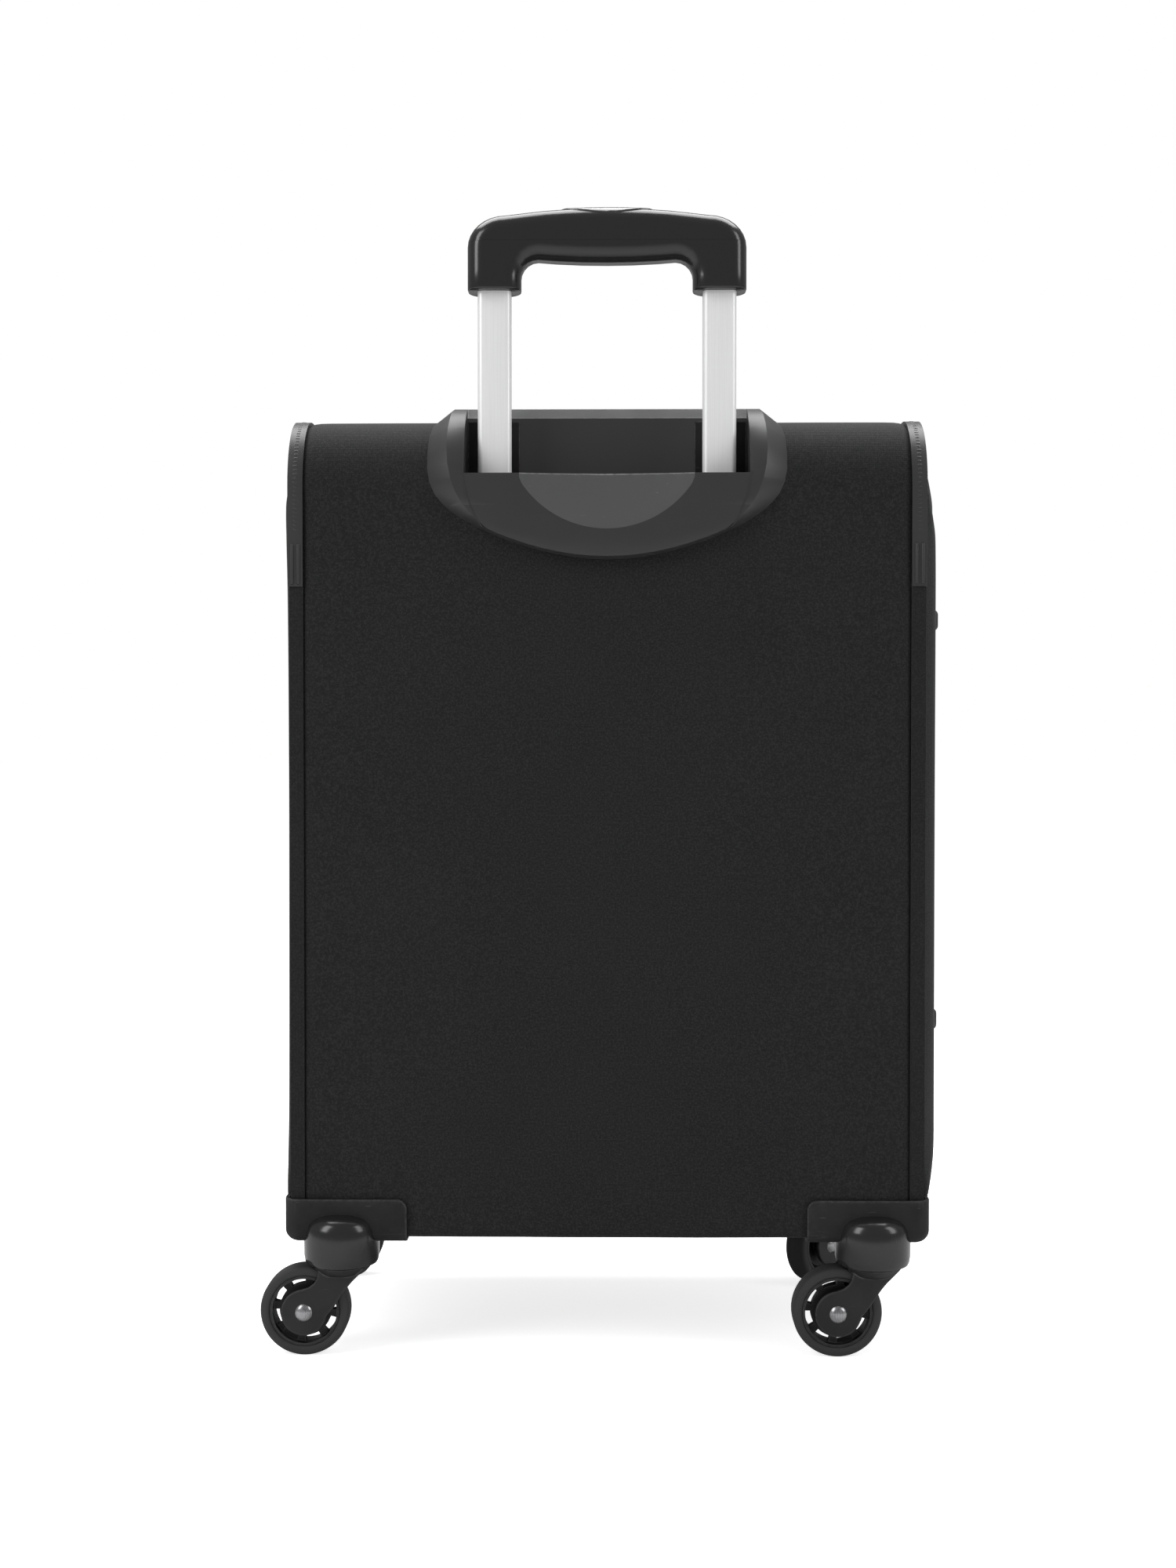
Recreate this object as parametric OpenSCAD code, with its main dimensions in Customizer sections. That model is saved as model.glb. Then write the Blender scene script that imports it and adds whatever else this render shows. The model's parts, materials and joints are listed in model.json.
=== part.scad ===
// Softside cabin suitcase on four swivel casters, with a two-stage trolley handle.
// Origin: on the floor, under the middle of the case. +Z up, the trolley side faces -Y.

/* [Case] */
// Width of the back panel between its two pipings
panel_w = 351; // [320:1:380]
// Height of the case's underside above the floor
case_bottom = 69; // [66:1:76]
// Height of the case's top above the floor
case_top = 547; // [526:1:566]
// Depth of the main shell, back panel to front face
case_d = 195; // [190:1:205]
// Thickness of padded panel
panel_t = 3; // [2:0.5:4]
// Width of the piping on each side
piping_w = 8.2; // [7:0.1:9]

/* [Lid] */
// Half width of the zip line round the lid
zip_half_w = 162; // [150:1:163]
// Lowest height of the zip line
zip_low = 107; // [106:1:120]
// Highest height of the zip line
zip_high = 514; // [486:1:514]
// Corner radius of the zip line
zip_r = 38; // [30:1:50]
// Depth of the lid in front of its zip tape
lid_d = 16; // [12:1:20]
// Depth of the front pocket
pocket_d = 12; // [8:1:16]

/* [Trolley] */
// Distance between the middles of the two tubes
tube_gap = 130.6; // [126:0.2:134]
// Width of the innermost tube
tube_w = 19.4; // [18:0.2:20]
// Depth of the innermost tube
tube_d = 12.2; // [11:0.2:12.4]
// Wall of each tube
tube_wall = 1.1; // [1:0.1:1.2]
// Middle of the tubes behind the back panel's outer face
tube_y = 13.5; // [13.5:0.1:14]
// Height of the underside of the grip's legs, part drawn out
grip_low = 618.5; // [618.5:0.5:640]
// Overall width of the grip
grip_w = 161.6; // [158:0.2:164]
// Overall height of the grip
grip_h = 51; // [51:0.5:54]

/* [Casters] */
// Outer radius of the wheels
wheel_r = 26; // [24:0.5:26]
// Distance from the swivel axis to the wheel's axle
trail = 21; // [18:0.5:22]
// Swivel axes, either side of the middle of the case
caster_x = 155; // [150:1:155]
// Rear swivel axes, in front of the back panel's outer face
caster_rear_y = 8; // [8:0.5:12]
// Front swivel axes, in front of the back panel's outer face
caster_front_y = 180; // [176:1:182]
// How far the front right caster is swivelled
front_right_turn = 45; // [0:1:90]

/* [Hidden] */
$fn = 48;

origin_y = 105;                           // back panel's face to the middle of the part
wide = 210;                               // wider than the case, for cutting and masking
panel_half = panel_w / 2;
side_x = panel_half + piping_w;           // outer face of the piping
side_panel_in = panel_half + 2.5;
side_panel_out = 187;
corner_r = [6, 16, 22, 42];              // profile radii: back low, front low, front top, back top
piping_depth = 8;

zone_low = 447;                           // where the ribbed guard takes the piping's place
zone_depth = 62;
skid_x = 53;
skid_half = 6.4;
skid_ends = [22, 173];

guard_t = 2.5;
guard_inner_x = 116;
guard_outer_x = 187.6;
guard_len = 56;
guard_top = 92;

cup_r = 22;
cup_low = 53.2;
cup_high = 84;
cup_dome_r = 34.25;
stem_r = 4;
stem_top = 73;
fit = 0.05;                               // radial clearance of a running fit
gap = 0.3;                                // clearance between parts that slide

board_low = 90;
board_high = 455;
board_t = 1.6;
lining_half = 168;
lining_y = [31, 180];
lining_z = [86, 538];
lining_t = 1.2;
strap_turn = 52;                          // how far each strap leans from upright
strap_half = 15;
buckle_half = 30.8;
buckle_z = 310;

bezel_t = 8;
bezel_half = 104;
bezel_low = 463.5;
bezel_depth = 46;
bezel_curve_r = 222;
bezel_top_half = 88.5;
pocket_half = 82.2;
pocket_wall = 2.5;
pocket_floor = 497;
pocket_back = 28;
lip_z = 511.5;
scoop_half = 52;
scoop_low = 481.4;
scoop_skin = 3;

tube_x = tube_gap / 2;
stage = 2 * tube_wall + 0.4;              // how much wider each outer tube is
mid_w = tube_w + stage;
mid_d = tube_d + stage;
out_w = mid_w + 2 * tube_wall + 0.2;
out_d = mid_d + 2 * tube_wall + 0.2;
base_z = [80, 88];
mid_low = 92;
mid_high = 502;
inner_low = 222;
socket_top = 632;
plug_low = 206;
pin_z = 214;
pin_r = 2.55;
pin_play = 0.15;                          // the pins drop into these holes on the move
stop_drops = [-116, 122];                 // pin travel from here to the two locking stops

grip_top = grip_low + grip_h;
grip_d = 25;
leg_w = 31;
grip_split = 647;
bar_low = 637;
grip_corner_r = 20.5;
grip_inner_r = 9;
button_half = 25.6;
button_half_d = 6.1;

disc_r = 14.5;                            // round end of each fork arm
arm_in = 8.2;
arm_out = 11;
axle_r = 3;
wheel_half_w = 7.7;
slot_r = 15.2;                            // the hub's eight slots
slot_w = 3.4;
rim_r = 20.4;
crown_low = 46;
crown_high = 52.8;

front_y = case_d;                         // outer face of the shell's front
tape_t = 1;
tape_w = 10;
coil_w = 2.5;
coil_t = 1.5;
tape_gap = 0.4;
lid_inset = 6.5;
lid_back = front_y + tape_t;
lid_front = lid_back + lid_d;
pocket_front = lid_front + pocket_d;

fp_half = 135;                            // front pocket and its zip
fp_z = [135, 395];
fp_zip_half = 118;
fp_zip_z = 405;
fp_slider_x = 104;
main_slider_z = [290, 330];

handle_half = 89;                         // top handle
handle_y = 100;
handle_half_d = 12;
side_handle_y = 98;
side_handle_low = 179;
side_handle_high = 439;

// ---- Shared shapes ----

// Puts a shape drawn from the back panel's face into the part's frame
module place() translate([0, -origin_y, 0]) children();

// A flat (y, z) shape made solid from x0 to x1
module along_x(x0, x1) translate([x0, 0, 0]) rotate([90, 0, 90]) linear_extrude(x1 - x0) children();

// A flat (x, z) shape made solid from y0 to y1
module along_y(y0, y1) translate([0, y1, 0]) rotate([90, 0, 0]) linear_extrude(y1 - y0) children();

// A box between two corners
module block(low, high) translate(low) cube(high - low);

// A rectangle with a radius for each corner: low left, low right, top right, top left
module rounded(low, high, r) {
    polygon([
        [low.x + r[0], low.y], [high.x - r[1], low.y], [high.x, low.y + r[1]],
        [high.x, high.y - r[2]], [high.x - r[2], high.y], [low.x + r[3], high.y],
        [low.x, high.y - r[3]], [low.x, low.y + r[0]]
    ]);
    translate([low.x + r[0], low.y + r[0]]) circle(r[0]);
    translate([high.x - r[1], low.y + r[1]]) circle(r[1]);
    translate([high.x - r[2], high.y - r[2]]) circle(r[2]);
    translate([low.x + r[3], high.y - r[3]]) circle(r[3]);
}

// The case seen from its side, in (y, z), inset by d all round
module profile(d) {
    rounded([d, case_bottom + d], [case_d - d, case_top - d], [for (r = corner_r) max(r - d, 1)]);
}

// The zip line in (x, z), moved outwards by d
module zip_line(d) {
    rounded([-zip_half_w - d, zip_low - d], [zip_half_w + d, zip_high + d],
            [for (i = [0:3]) zip_r + d]);
}

// A flat ring along the zip line between two offsets
module zip_ring(d_in, d_out, y0, y1) {
    difference() {
        along_y(y0, y1) zip_line(d_out);
        along_y(y0 - 1, y1 + 1) zip_line(d_in);
    }
}

// Both sides of the case
module both_sides() {
    children();
    mirror([1, 0, 0]) children();
}

// The outside of a caster's housing, on its swivel axis
module cup_envelope() {
    intersection() {
        translate([0, 0, cup_low]) cylinder(r = cup_r, h = cup_high - cup_low);
        translate([0, 0, cup_high - cup_dome_r]) sphere(cup_dome_r);
    }
}

// The four swivel axes
module at_casters() {
    for (x = [-caster_x, caster_x], y = [caster_rear_y, caster_front_y])
        translate([x, y, 0]) children();
}

// The guards' screws, standing on each one's axis
module at_screws() {
    for (x = [-1, 1], p = [[124, 20], [165, 45], [165, 150], [124, 175]])
        translate([x * p.x, p.y, 0]) children();
}

module screw_shafts() at_screws() translate([0, 0, case_bottom - guard_t]) cylinder(r = 2, h = 10);

// ---- Case ----

// The long panel under, behind and over the case; its ends turn onto the front
module wrap_strip() difference() {
    along_x(-panel_half, panel_half) difference() {
        profile(0);
        profile(panel_t);
    }
    block([-wide, case_d - panel_t - 1, case_bottom + corner_r[1]],
          [wide, case_d + 1, case_top - corner_r[2]]);
}

// The flat border that is sewn to its ends and holds the zip
module front_border() along_y(case_d - panel_t, case_d) difference() {
    translate([-panel_half, case_bottom + corner_r[1]])
        square([panel_w, case_top - case_bottom - corner_r[1] - corner_r[2]]);
    zip_line(0);
}

module wrap_panel() color("#2b2b2d") place() difference() {
    union() {
        wrap_strip();
        front_border();
    }
    bezel_box();
    at_casters() cup_envelope();
    screw_shafts();
}

module side_panel(side) color("#2b2b2d") place() mirror([side < 0 ? 1 : 0, 0, 0]) difference() {
    along_x(side_panel_in, side_panel_out) profile(piping_depth);
    for (y = [0, case_d - guard_len])
        block([side_x, y - 1, case_bottom], [side_panel_out + 1, y + guard_len + 1, guard_top]);
}

// Where the ribbed guard takes the piping's place, over the back top edge
module guard_zone() block([-wide, -5, zone_low], [wide, zone_depth, case_top + 5]);

module edge_piping() color("#242426") place() both_sides() difference() {
    along_x(panel_half, side_x) difference() {
        profile(0);
        profile(piping_depth);
    }
    guard_zone();
    at_casters() cup_envelope();
}

module piping_guards() color("#1c1c1e") place() both_sides() intersection() {
    along_x(panel_half, side_x + 0.6) difference() {
        profile(-0.8);
        profile(piping_depth);
    }
    guard_zone();
}

module back_board() color("#55585c") place()
    block([-lining_half, panel_t, board_low], [lining_half, panel_t + board_t, board_high]);

// A steel wire loop that holds the mouth of the case open
module opening_wire_frame() color("silver") place() {
    wire_r = 2;
    bend_r = 16;
    half = 171;
    low = 90;
    high = 535;
    translate([0, 184.5, 0]) {
        for (x = [-half, half])
            translate([x, 0, low + bend_r]) cylinder(r = wire_r, h = high - low - 2 * bend_r);
        for (z = [low, high])
            translate([-half + bend_r, 0, z]) rotate([0, 90, 0])
                cylinder(r = wire_r, h = 2 * (half - bend_r));
        for (c = [[1, 1, 0], [-1, 1, 90], [-1, -1, 180], [1, -1, 270]])
            translate([c[0] * (half - bend_r), 0, c[1] > 0 ? high - bend_r : low + bend_r])
                rotate([90, 0, 0]) rotate([0, 0, c[2]])
                    rotate_extrude(angle = 90) translate([bend_r, 0]) circle(wire_r);
    }
}

module lining() color("#6d6f73") place() difference() {
    block([-lining_half, lining_y[0], lining_z[0]], [lining_half, lining_y[1], lining_z[1]]);
    block([-lining_half + lining_t, lining_y[0] + lining_t, lining_z[0] + lining_t],
          [lining_half - lining_t, lining_y[1] + 1, lining_z[1] - lining_t]);
}

// Two crossed straps that hold the clothes, lying on the lining's back, and their buckle
module pack_straps() color("#303032") place() {
    intersection() {
        for (a = [-strap_turn, strap_turn])
            translate([0, lining_y[0] + lining_t, buckle_z]) rotate([0, a, 0])
                block([-240, 0, -strap_half], [240, 1.5, strap_half]);
        block([-164, lining_y[0], 120], [164, lining_y[0] + 3, 500]);
    }
    difference() {
        along_y(lining_y[0] + lining_t, lining_y[0] + 7)
            rounded([-buckle_half, buckle_z - 20.8], [buckle_half, buckle_z + 20.8], [8, 8, 8, 8]);
        for (x = [-19, 19])
            block([x - 4, lining_y[0] + 3, buckle_z - 12], [x + 4, lining_y[0] + 8, buckle_z + 12]);
    }
}

module zip_tape_case() color("#141414") place() {
    zip_ring(0, tape_w, front_y, front_y + tape_t);
    difference() {
        zip_ring(0, coil_w, front_y + tape_t, front_y + tape_t + coil_t);
        hinge_side();
    }
}

// The side where the lid is sewn on and the zip has no coil
module hinge_side() block([-wide, front_y, zip_low + zip_r], [-100, front_y + 10, zip_high - zip_r]);

// ---- Trolley housing ----

// The space that the handle's recess takes out of the back panel
module bezel_box() {
    block([-pocket_half - pocket_wall, -20, pocket_floor - pocket_wall],
          [pocket_half + pocket_wall, pocket_back + pocket_wall, 560]);
}

module bezel_outline() intersection() {
    translate([0, bezel_low + bezel_curve_r]) circle(bezel_curve_r, $fn = 96);
    polygon([
        [-bezel_half, bezel_low], [bezel_half, bezel_low], [bezel_half, case_top],
        [bezel_top_half, case_top + bezel_t], [-bezel_top_half, case_top + bezel_t],
        [-bezel_half, case_top]
    ]);
}

module trolley_bezel() color("#1c1c1e") place() difference() {
    intersection() {
        union() {
            difference() {
                along_x(-bezel_half, bezel_half) difference() {
                    profile(-bezel_t);
                    profile(0);
                }
                block([-wide, bezel_depth, 0], [wide, 300, 600]);
            }
            bezel_box();
        }
        along_y(-20, bezel_depth) bezel_outline();
        along_x(-bezel_half, bezel_half) profile(-bezel_t);
    }
    block([-pocket_half, 0, pocket_floor], [pocket_half, pocket_back, 560]);
    block([-pocket_half, -20, lip_z], [pocket_half, pocket_back, 560]);
    translate([0, -scoop_skin, scoop_low + scoop_r()]) rotate([90, 0, 0])
        cylinder(r = scoop_r(), h = 20, $fn = 96);
    for (x = [-tube_x, tube_x])
        tube_solid(x, mid_w + 0.4, mid_d + 0.4, pocket_floor - 5, pocket_floor + 1);
}

function scoop_r() = (pow(scoop_half, 2) + pow(lip_z - scoop_low, 2)) / (2 * (lip_z - scoop_low));

// A rectangular bar on a tube's axis
module tube_solid(x, w, d, z0, z1) block([x - w / 2, tube_y - d / 2, z0], [x + w / 2, tube_y + d / 2, z1]);

// A rectangular tube on that axis
module tube(x, w, d, z0, z1) difference() {
    tube_solid(x, w, d, z0, z1);
    tube_solid(x, w - 2 * tube_wall, d - 2 * tube_wall, z0 - 1, z1 + 1);
}

module outer_tubes() color("#c9cbcd") place()
    for (x = [-tube_x, tube_x]) tube(x, out_w, out_d, base_z[1], pocket_floor - pocket_wall);

module trolley_base() color("#1c1c1e") place() {
    block([-80, 6, base_z[0]], [80, 22, base_z[1]]);
    for (x = [-tube_x, tube_x]) tube_solid(x, out_w - 2 * tube_wall - 0.2, 12, base_z[1], base_z[1] + 1.5);
}

module middle_tubes() color("#c9cbcd") place() difference() {
    for (x = [-tube_x, tube_x]) tube(x, mid_w, mid_d, mid_low, mid_high);
    for (x = [-tube_x, tube_x], drop = stop_drops)
        translate([x, tube_y, pin_z + drop]) rotate([-90, 0, 0]) cylinder(r = pin_r + pin_play, h = 20);
}

module stage_collars() color("#1c1c1e") place() for (x = [-tube_x, tube_x]) difference() {
    tube_solid(x, mid_w + 5, mid_d + 5, pocket_floor + gap, mid_high);
    tube_solid(x, mid_w, mid_d, pocket_floor, mid_high + 1);
}

module inner_tubes() color("#e2e3e4") place()
    for (x = [-tube_x, tube_x]) tube(x, tube_w, tube_d, inner_low, socket_top);

module inner_plugs() color("#1c1c1e") place() for (x = [-tube_x, tube_x]) difference() {
    union() {
        tube_solid(x, tube_w - 0.2, tube_d - 0.2, plug_low, inner_low);
        tube_solid(x, tube_w - 2 * tube_wall, tube_d - 2 * tube_wall, inner_low, inner_low + 6);
    }
    translate([x, tube_y - 4, pin_z]) rotate([-90, 0, 0]) cylinder(r = pin_r + fit, h = 20);
}

module lock_pins() color("silver") place() for (x = [-tube_x, tube_x])
    translate([x, tube_y - 2.4, pin_z]) rotate([-90, 0, 0]) cylinder(r = pin_r, h = 8.5);

// ---- Grip ----

module grip_outline() difference() {
    rounded([-grip_w / 2, grip_low], [grip_w / 2, grip_top], [2, 2, grip_corner_r, grip_corner_r]);
    rounded([-grip_w / 2 + leg_w, grip_low - 20], [grip_w / 2 - leg_w, bar_low],
            [1, 1, grip_inner_r, grip_inner_r]);
}

module grip_solid() along_y(tube_y - grip_d / 2, tube_y + grip_d / 2) grip_outline();

module grip_cavity() {
    block([-68.5, tube_y - 8.5, bar_low + 3], [68.5, tube_y + 8.5, grip_top - 9.5]);
    block([-58, tube_y - 8.5, bar_low + 3], [58, tube_y + 8.5, grip_top - 3]);
    block([-button_half - gap, tube_y - button_half_d - gap, grip_top - 5],
          [button_half + gap, tube_y + button_half_d + gap, grip_top + 5]);
    for (x = [-tube_x, tube_x]) {
        tube_solid(x, tube_w, tube_d, grip_low - 1, socket_top);
        translate([x, tube_y, socket_top - 1]) cylinder(r = 4, h = 12);
    }
}

module grip_upper_shell() color("#141414") place() difference() {
    grip_solid();
    grip_cavity();
    block([-100, -30, 0], [100, 60, grip_split]);
}

module grip_lower_shell() color("#141414") place() difference() {
    grip_solid();
    grip_cavity();
    block([-100, -30, grip_split], [100, 60, 800]);
}

module push_button() color("#101010") place() {
    block([-button_half, tube_y - button_half_d, grip_top - 3.3],
          [button_half, tube_y + button_half_d, grip_top + 1]);
    block([-28, tube_y - 8, grip_top - 6.8], [28, tube_y + 8, grip_top - 3.3]);
    block([-6, tube_y - 4, grip_top - 12.3], [6, tube_y + 4, grip_top - 6.8]);
}

module push_rods() color("silver") place() {
    block([-67.1, tube_y - 2.5, grip_top - 17.5], [67.1, tube_y + 2.5, grip_top - 12.5]);
    for (x = [-tube_x, tube_x])
        translate([x, tube_y, 232]) cylinder(r = 1.8, h = grip_top - 17.5 - 232);
}

module button_spring() color("silver") place() translate([0, tube_y, bar_low + 3.2]) difference() {
    cylinder(r = 4, h = 11.6);
    translate([0, 0, -1]) cylinder(r = 3, h = 14);
}

// ---- Underside ----

module corner_guard(side, front) color("#1c1c1e") place() difference() {
    intersection() {
        mirror([side < 0 ? 1 : 0, 0, 0]) union() {
            along_x(guard_inner_x, side_x) difference() {
                profile(-guard_t);
                profile(0);
            }
            along_x(side_x, guard_outer_x) profile(-guard_t);
        }
        block([-wide, front ? case_d - guard_len : -guard_t - 1, 60],
              [wide, front ? case_d + guard_t + 1 : guard_len, guard_top]);
    }
    at_casters() cup_envelope();
    screw_shafts();
}

module guard_screws() color("silver") place() {
    screw_shafts();
    at_screws() translate([0, 0, case_bottom - guard_t - 1.5]) cylinder(r = 4, h = 1.5);
}

module bottom_skids() color("#1c1c1e") place() both_sides()
    along_x(skid_x - skid_half, skid_x + skid_half)
        rounded([skid_ends[0], case_bottom - 3], [skid_ends[1], case_bottom], [1.5, 1.5, 0.4, 0.4]);

module caster_cups() color("#141414") place() at_casters() difference() {
    cup_envelope();
    translate([0, 0, cup_low - 1]) cylinder(r = stem_r + fit, h = stem_top - cup_low + 1.4);
}

// ---- Casters: built on a swivel axis, trailing towards -X ----

module at_caster(side, front) {
    turn = front && side > 0 ? front_right_turn : 0;
    place() translate([side * caster_x, front ? caster_front_y : caster_rear_y, 0])
        rotate([0, 0, turn]) children();
}

module arm_outline() difference() {
    union() {
        translate([-trail, wheel_r]) circle(disc_r);
        polygon([
            [-12, crown_low + 1], [13, crown_low + 1], [13, 40], [9.5, 30],
            [-9.5, 17], [-trail, wheel_r], [-24, 39], [-15, 40.5]
        ]);
    }
    translate([-trail, wheel_r]) circle(axle_r);
}

module fork() difference() {
    union() {
        for (y = [-arm_out, arm_in]) along_y(y, y + arm_out - arm_in) arm_outline();
        translate([0, 0, crown_low]) cylinder(r = 17, h = crown_high - crown_low);
        translate([0, 0, crown_low]) cylinder(r = stem_r, h = stem_top - crown_low);
    }
    translate([-trail, arm_in, wheel_r]) rotate([90, 0, 0]) cylinder(r = wheel_r + 1, h = 2 * arm_in);
}

module axle() translate([-trail, 0, wheel_r]) rotate([90, 0, 0]) {
    cylinder(r = axle_r, h = 2 * arm_out, center = true);
    for (m = [0, 1]) mirror([0, 0, m]) translate([0, 0, arm_out]) cylinder(r1 = 4.6, r2 = 3.4, h = 1.6);
}

module wheel_hub() translate([-trail, 0, wheel_r]) rotate([90, 0, 0]) difference() {
    cylinder(r = rim_r - fit, h = 2 * wheel_half_w - 1, center = true);
    cylinder(r = axle_r + fit, h = 30, center = true);
    for (i = [0:7]) rotate([0, 0, i * 45]) translate([0, 0, -10])
        rotate_extrude(angle = 28) translate([slot_r, 0]) square([slot_w, 20]);
}

module tyre() translate([-trail, 0, wheel_r]) rotate([90, 0, 0]) rotate_extrude() difference() {
    rounded([rim_r - 5, -wheel_half_w], [wheel_r, wheel_half_w], [1, 3, 3, 1]);
    translate([0, -10]) square([rim_r, 20]);
}

// ---- Lid ----

module lid_shell() color("#2b2b2d") place() difference() {
    along_y(lid_back, lid_front) zip_line(-lid_inset);
    along_y(lid_back - 1, lid_front - panel_t) zip_line(-lid_inset - panel_t);
}

module lid_piping() color("#242426") place() zip_ring(-lid_inset - 4, -lid_inset, lid_front, lid_front + 3);

module zip_tape_lid() color("#141414") place() {
    zip_ring(-tape_w - tape_gap, -tape_gap, front_y, front_y + tape_t);
    difference() {
        zip_ring(-coil_w - tape_gap, -tape_gap, front_y + tape_t, front_y + tape_t + coil_t);
        hinge_side();
    }
}

module front_pocket() color("#2b2b2d") place()
    along_y(lid_front, pocket_front) rounded([-fp_half, fp_z[0]], [fp_half, fp_z[1]], [20, 20, 8, 8]);

module pocket_zip_tape() color("#141414") place() {
    block([-fp_zip_half - 7, lid_front, fp_zip_z - 8], [fp_zip_half + 7, lid_front + tape_t, fp_zip_z + 8]);
    block([-fp_zip_half, lid_front + tape_t, fp_zip_z - coil_w],
          [fp_zip_half, lid_front + tape_t + coil_t, fp_zip_z + coil_w]);
}

// ---- Sliders: on the coil's face, travelling along Z, pin across ----

pin_out = 7;                              // puller's pin above the coil's face
puller_len = 30;

module slider() {
    difference() {
        along_y(gap, 3.6) rounded([-6, -9], [6, 8], [2, 2, 5, 5]);
        block([-2, gap - 1, 6], [2, 1.2, 9]);
    }
    for (x = [-4.6, 3.2]) along_x(x, x + 1.4) rounded([3, -1.2], [pin_out + 1.8, 4.8], [0.2, 1.5, 1.5, 0.2]);
    translate([-3.5, pin_out, 2]) rotate([0, 90, 0]) cylinder(r = 0.9, h = 7);
}

module puller() difference() {
    along_y(pin_out - 1.1, pin_out + 1.1) rounded([-2.9, 2 - puller_len], [2.9, 4.3], [2.5, 2.5, 1, 1]);
    translate([-10, pin_out, 2]) rotate([0, 90, 0]) cylinder(r = 0.95, h = 20);
}

// The main zip's straight run on the opening side
module on_main_zip(z) place() translate([zip_half_w, front_y + tape_t + coil_t, z]) children();

// The pocket's zip: the slider lies along X
module on_pocket_zip(x) place()
    translate([x, lid_front + tape_t + coil_t, fp_zip_z]) rotate([0, 90, 0]) children();

// ---- Carry handles ----

module handle_anchors() color("#1c1c1e") place() {
    both_sides() difference() {
        along_y(handle_y - handle_half_d, handle_y + handle_half_d)
            rounded([handle_half - 8, case_top], [handle_half + 9, case_top + 10], [0.5, 0.5, 5, 1]);
        block([handle_half - 3.4, handle_y - 9, case_top + 0.5], [handle_half + 0.4, handle_y + 9, 600]);
    }
    for (z = [side_handle_low, side_handle_high - 13]) difference() {
        along_x(side_panel_out, 204.5)
            rounded([side_handle_y - 15, z], [side_handle_y + 15, z + 13], [3, 3, 3, 3]);
        block([189, side_handle_y - 9, z < 300 ? z + 3 : z - 1],
              [203, side_handle_y + 9, z < 300 ? z + 14 : z + 10]);
    }
}

module top_carry_handle() color("#232325") place() {
    block([-handle_half, handle_y - 11, case_top + 10.3], [handle_half, handle_y + 11, case_top + 16]);
    both_sides()
        block([handle_half - 3, handle_y - 8.6, case_top + 1], [handle_half, handle_y + 8.6, case_top + 10.3]);
}

module side_carry_handle() color("#232325") place() {
    low = side_handle_low + 13 + gap;
    high = side_handle_high - 13 - gap;
    along_y(side_handle_y - 14, side_handle_y + 14) rounded([193.5, low], [199.5, high], [2, 2, 2, 2]);
    block([195, side_handle_y - 8.6, low - 8], [197, side_handle_y + 8.6, high + 8]);
}

// ---- Nodes ----

wrap_panel();
side_panel(-1);  // side_panel_left
side_panel(1);  // side_panel_right
edge_piping();
piping_guards();
back_board();
opening_wire_frame();
lining();
pack_straps();
zip_tape_case();
trolley_bezel();
outer_tubes();
trolley_base();
bottom_skids();
corner_guard(-1, false);  // corner_guard_rear_left
corner_guard(1, false);  // corner_guard_rear_right
corner_guard(-1, true);  // corner_guard_front_left
corner_guard(1, true);  // corner_guard_front_right
caster_cups();
guard_screws();
handle_anchors();
lid_shell();
lid_piping();
zip_tape_lid();
front_pocket();
pocket_zip_tape();
color("gray") on_main_zip(main_slider_z[1]) slider();  // main_slider_upper
color("silver") on_main_zip(main_slider_z[1]) puller();  // main_puller_upper
color("gray") on_main_zip(main_slider_z[0]) slider();  // main_slider_lower
color("silver") on_main_zip(main_slider_z[0]) puller();  // main_puller_lower
color("gray") on_pocket_zip(fp_slider_x) slider();  // pocket_slider
color("silver") on_pocket_zip(fp_slider_x) puller();  // pocket_puller
top_carry_handle();
side_carry_handle();
middle_tubes();
stage_collars();
inner_tubes();
inner_plugs();
grip_upper_shell();
grip_lower_shell();
push_button();
button_spring();
push_rods();
lock_pins();
color("#26262a") at_caster(-1, false) fork();  // fork_rear_left
color("#26262a") at_caster(1, false) fork();  // fork_rear_right
color("#26262a") at_caster(-1, true) fork();  // fork_front_left
color("#26262a") at_caster(1, true) fork();  // fork_front_right
color("silver") at_caster(-1, false) axle();  // axle_rear_left
color("silver") at_caster(1, false) axle();  // axle_rear_right
color("silver") at_caster(-1, true) axle();  // axle_front_left
color("silver") at_caster(1, true) axle();  // axle_front_right
color("#1c1c1e") at_caster(-1, false) wheel_hub();  // hub_rear_left
color("#1c1c1e") at_caster(1, false) wheel_hub();  // hub_rear_right
color("#1c1c1e") at_caster(-1, true) wheel_hub();  // hub_front_left
color("#1c1c1e") at_caster(1, true) wheel_hub();  // hub_front_right
color("#2c2c2e") at_caster(-1, false) tyre();  // tyre_rear_left
color("#2c2c2e") at_caster(1, false) tyre();  // tyre_rear_right
color("#2c2c2e") at_caster(-1, true) tyre();  // tyre_front_left
color("#2c2c2e") at_caster(1, true) tyre();  // tyre_front_right
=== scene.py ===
"""The looks of a softside cabin suitcase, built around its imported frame.

Sizes are millimetres measured from the back panel's face (y), the middle of the case (x) and the
floor (z). Form.make() turns them into metres in the part's frame.
"""

from __future__ import annotations

import json
import logging
import math
from dataclasses import dataclass, field
from enum import Enum
from typing import Callable, Iterable, Sequence

import bmesh
import bpy
from mathutils import Matrix, Vector, noise

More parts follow.
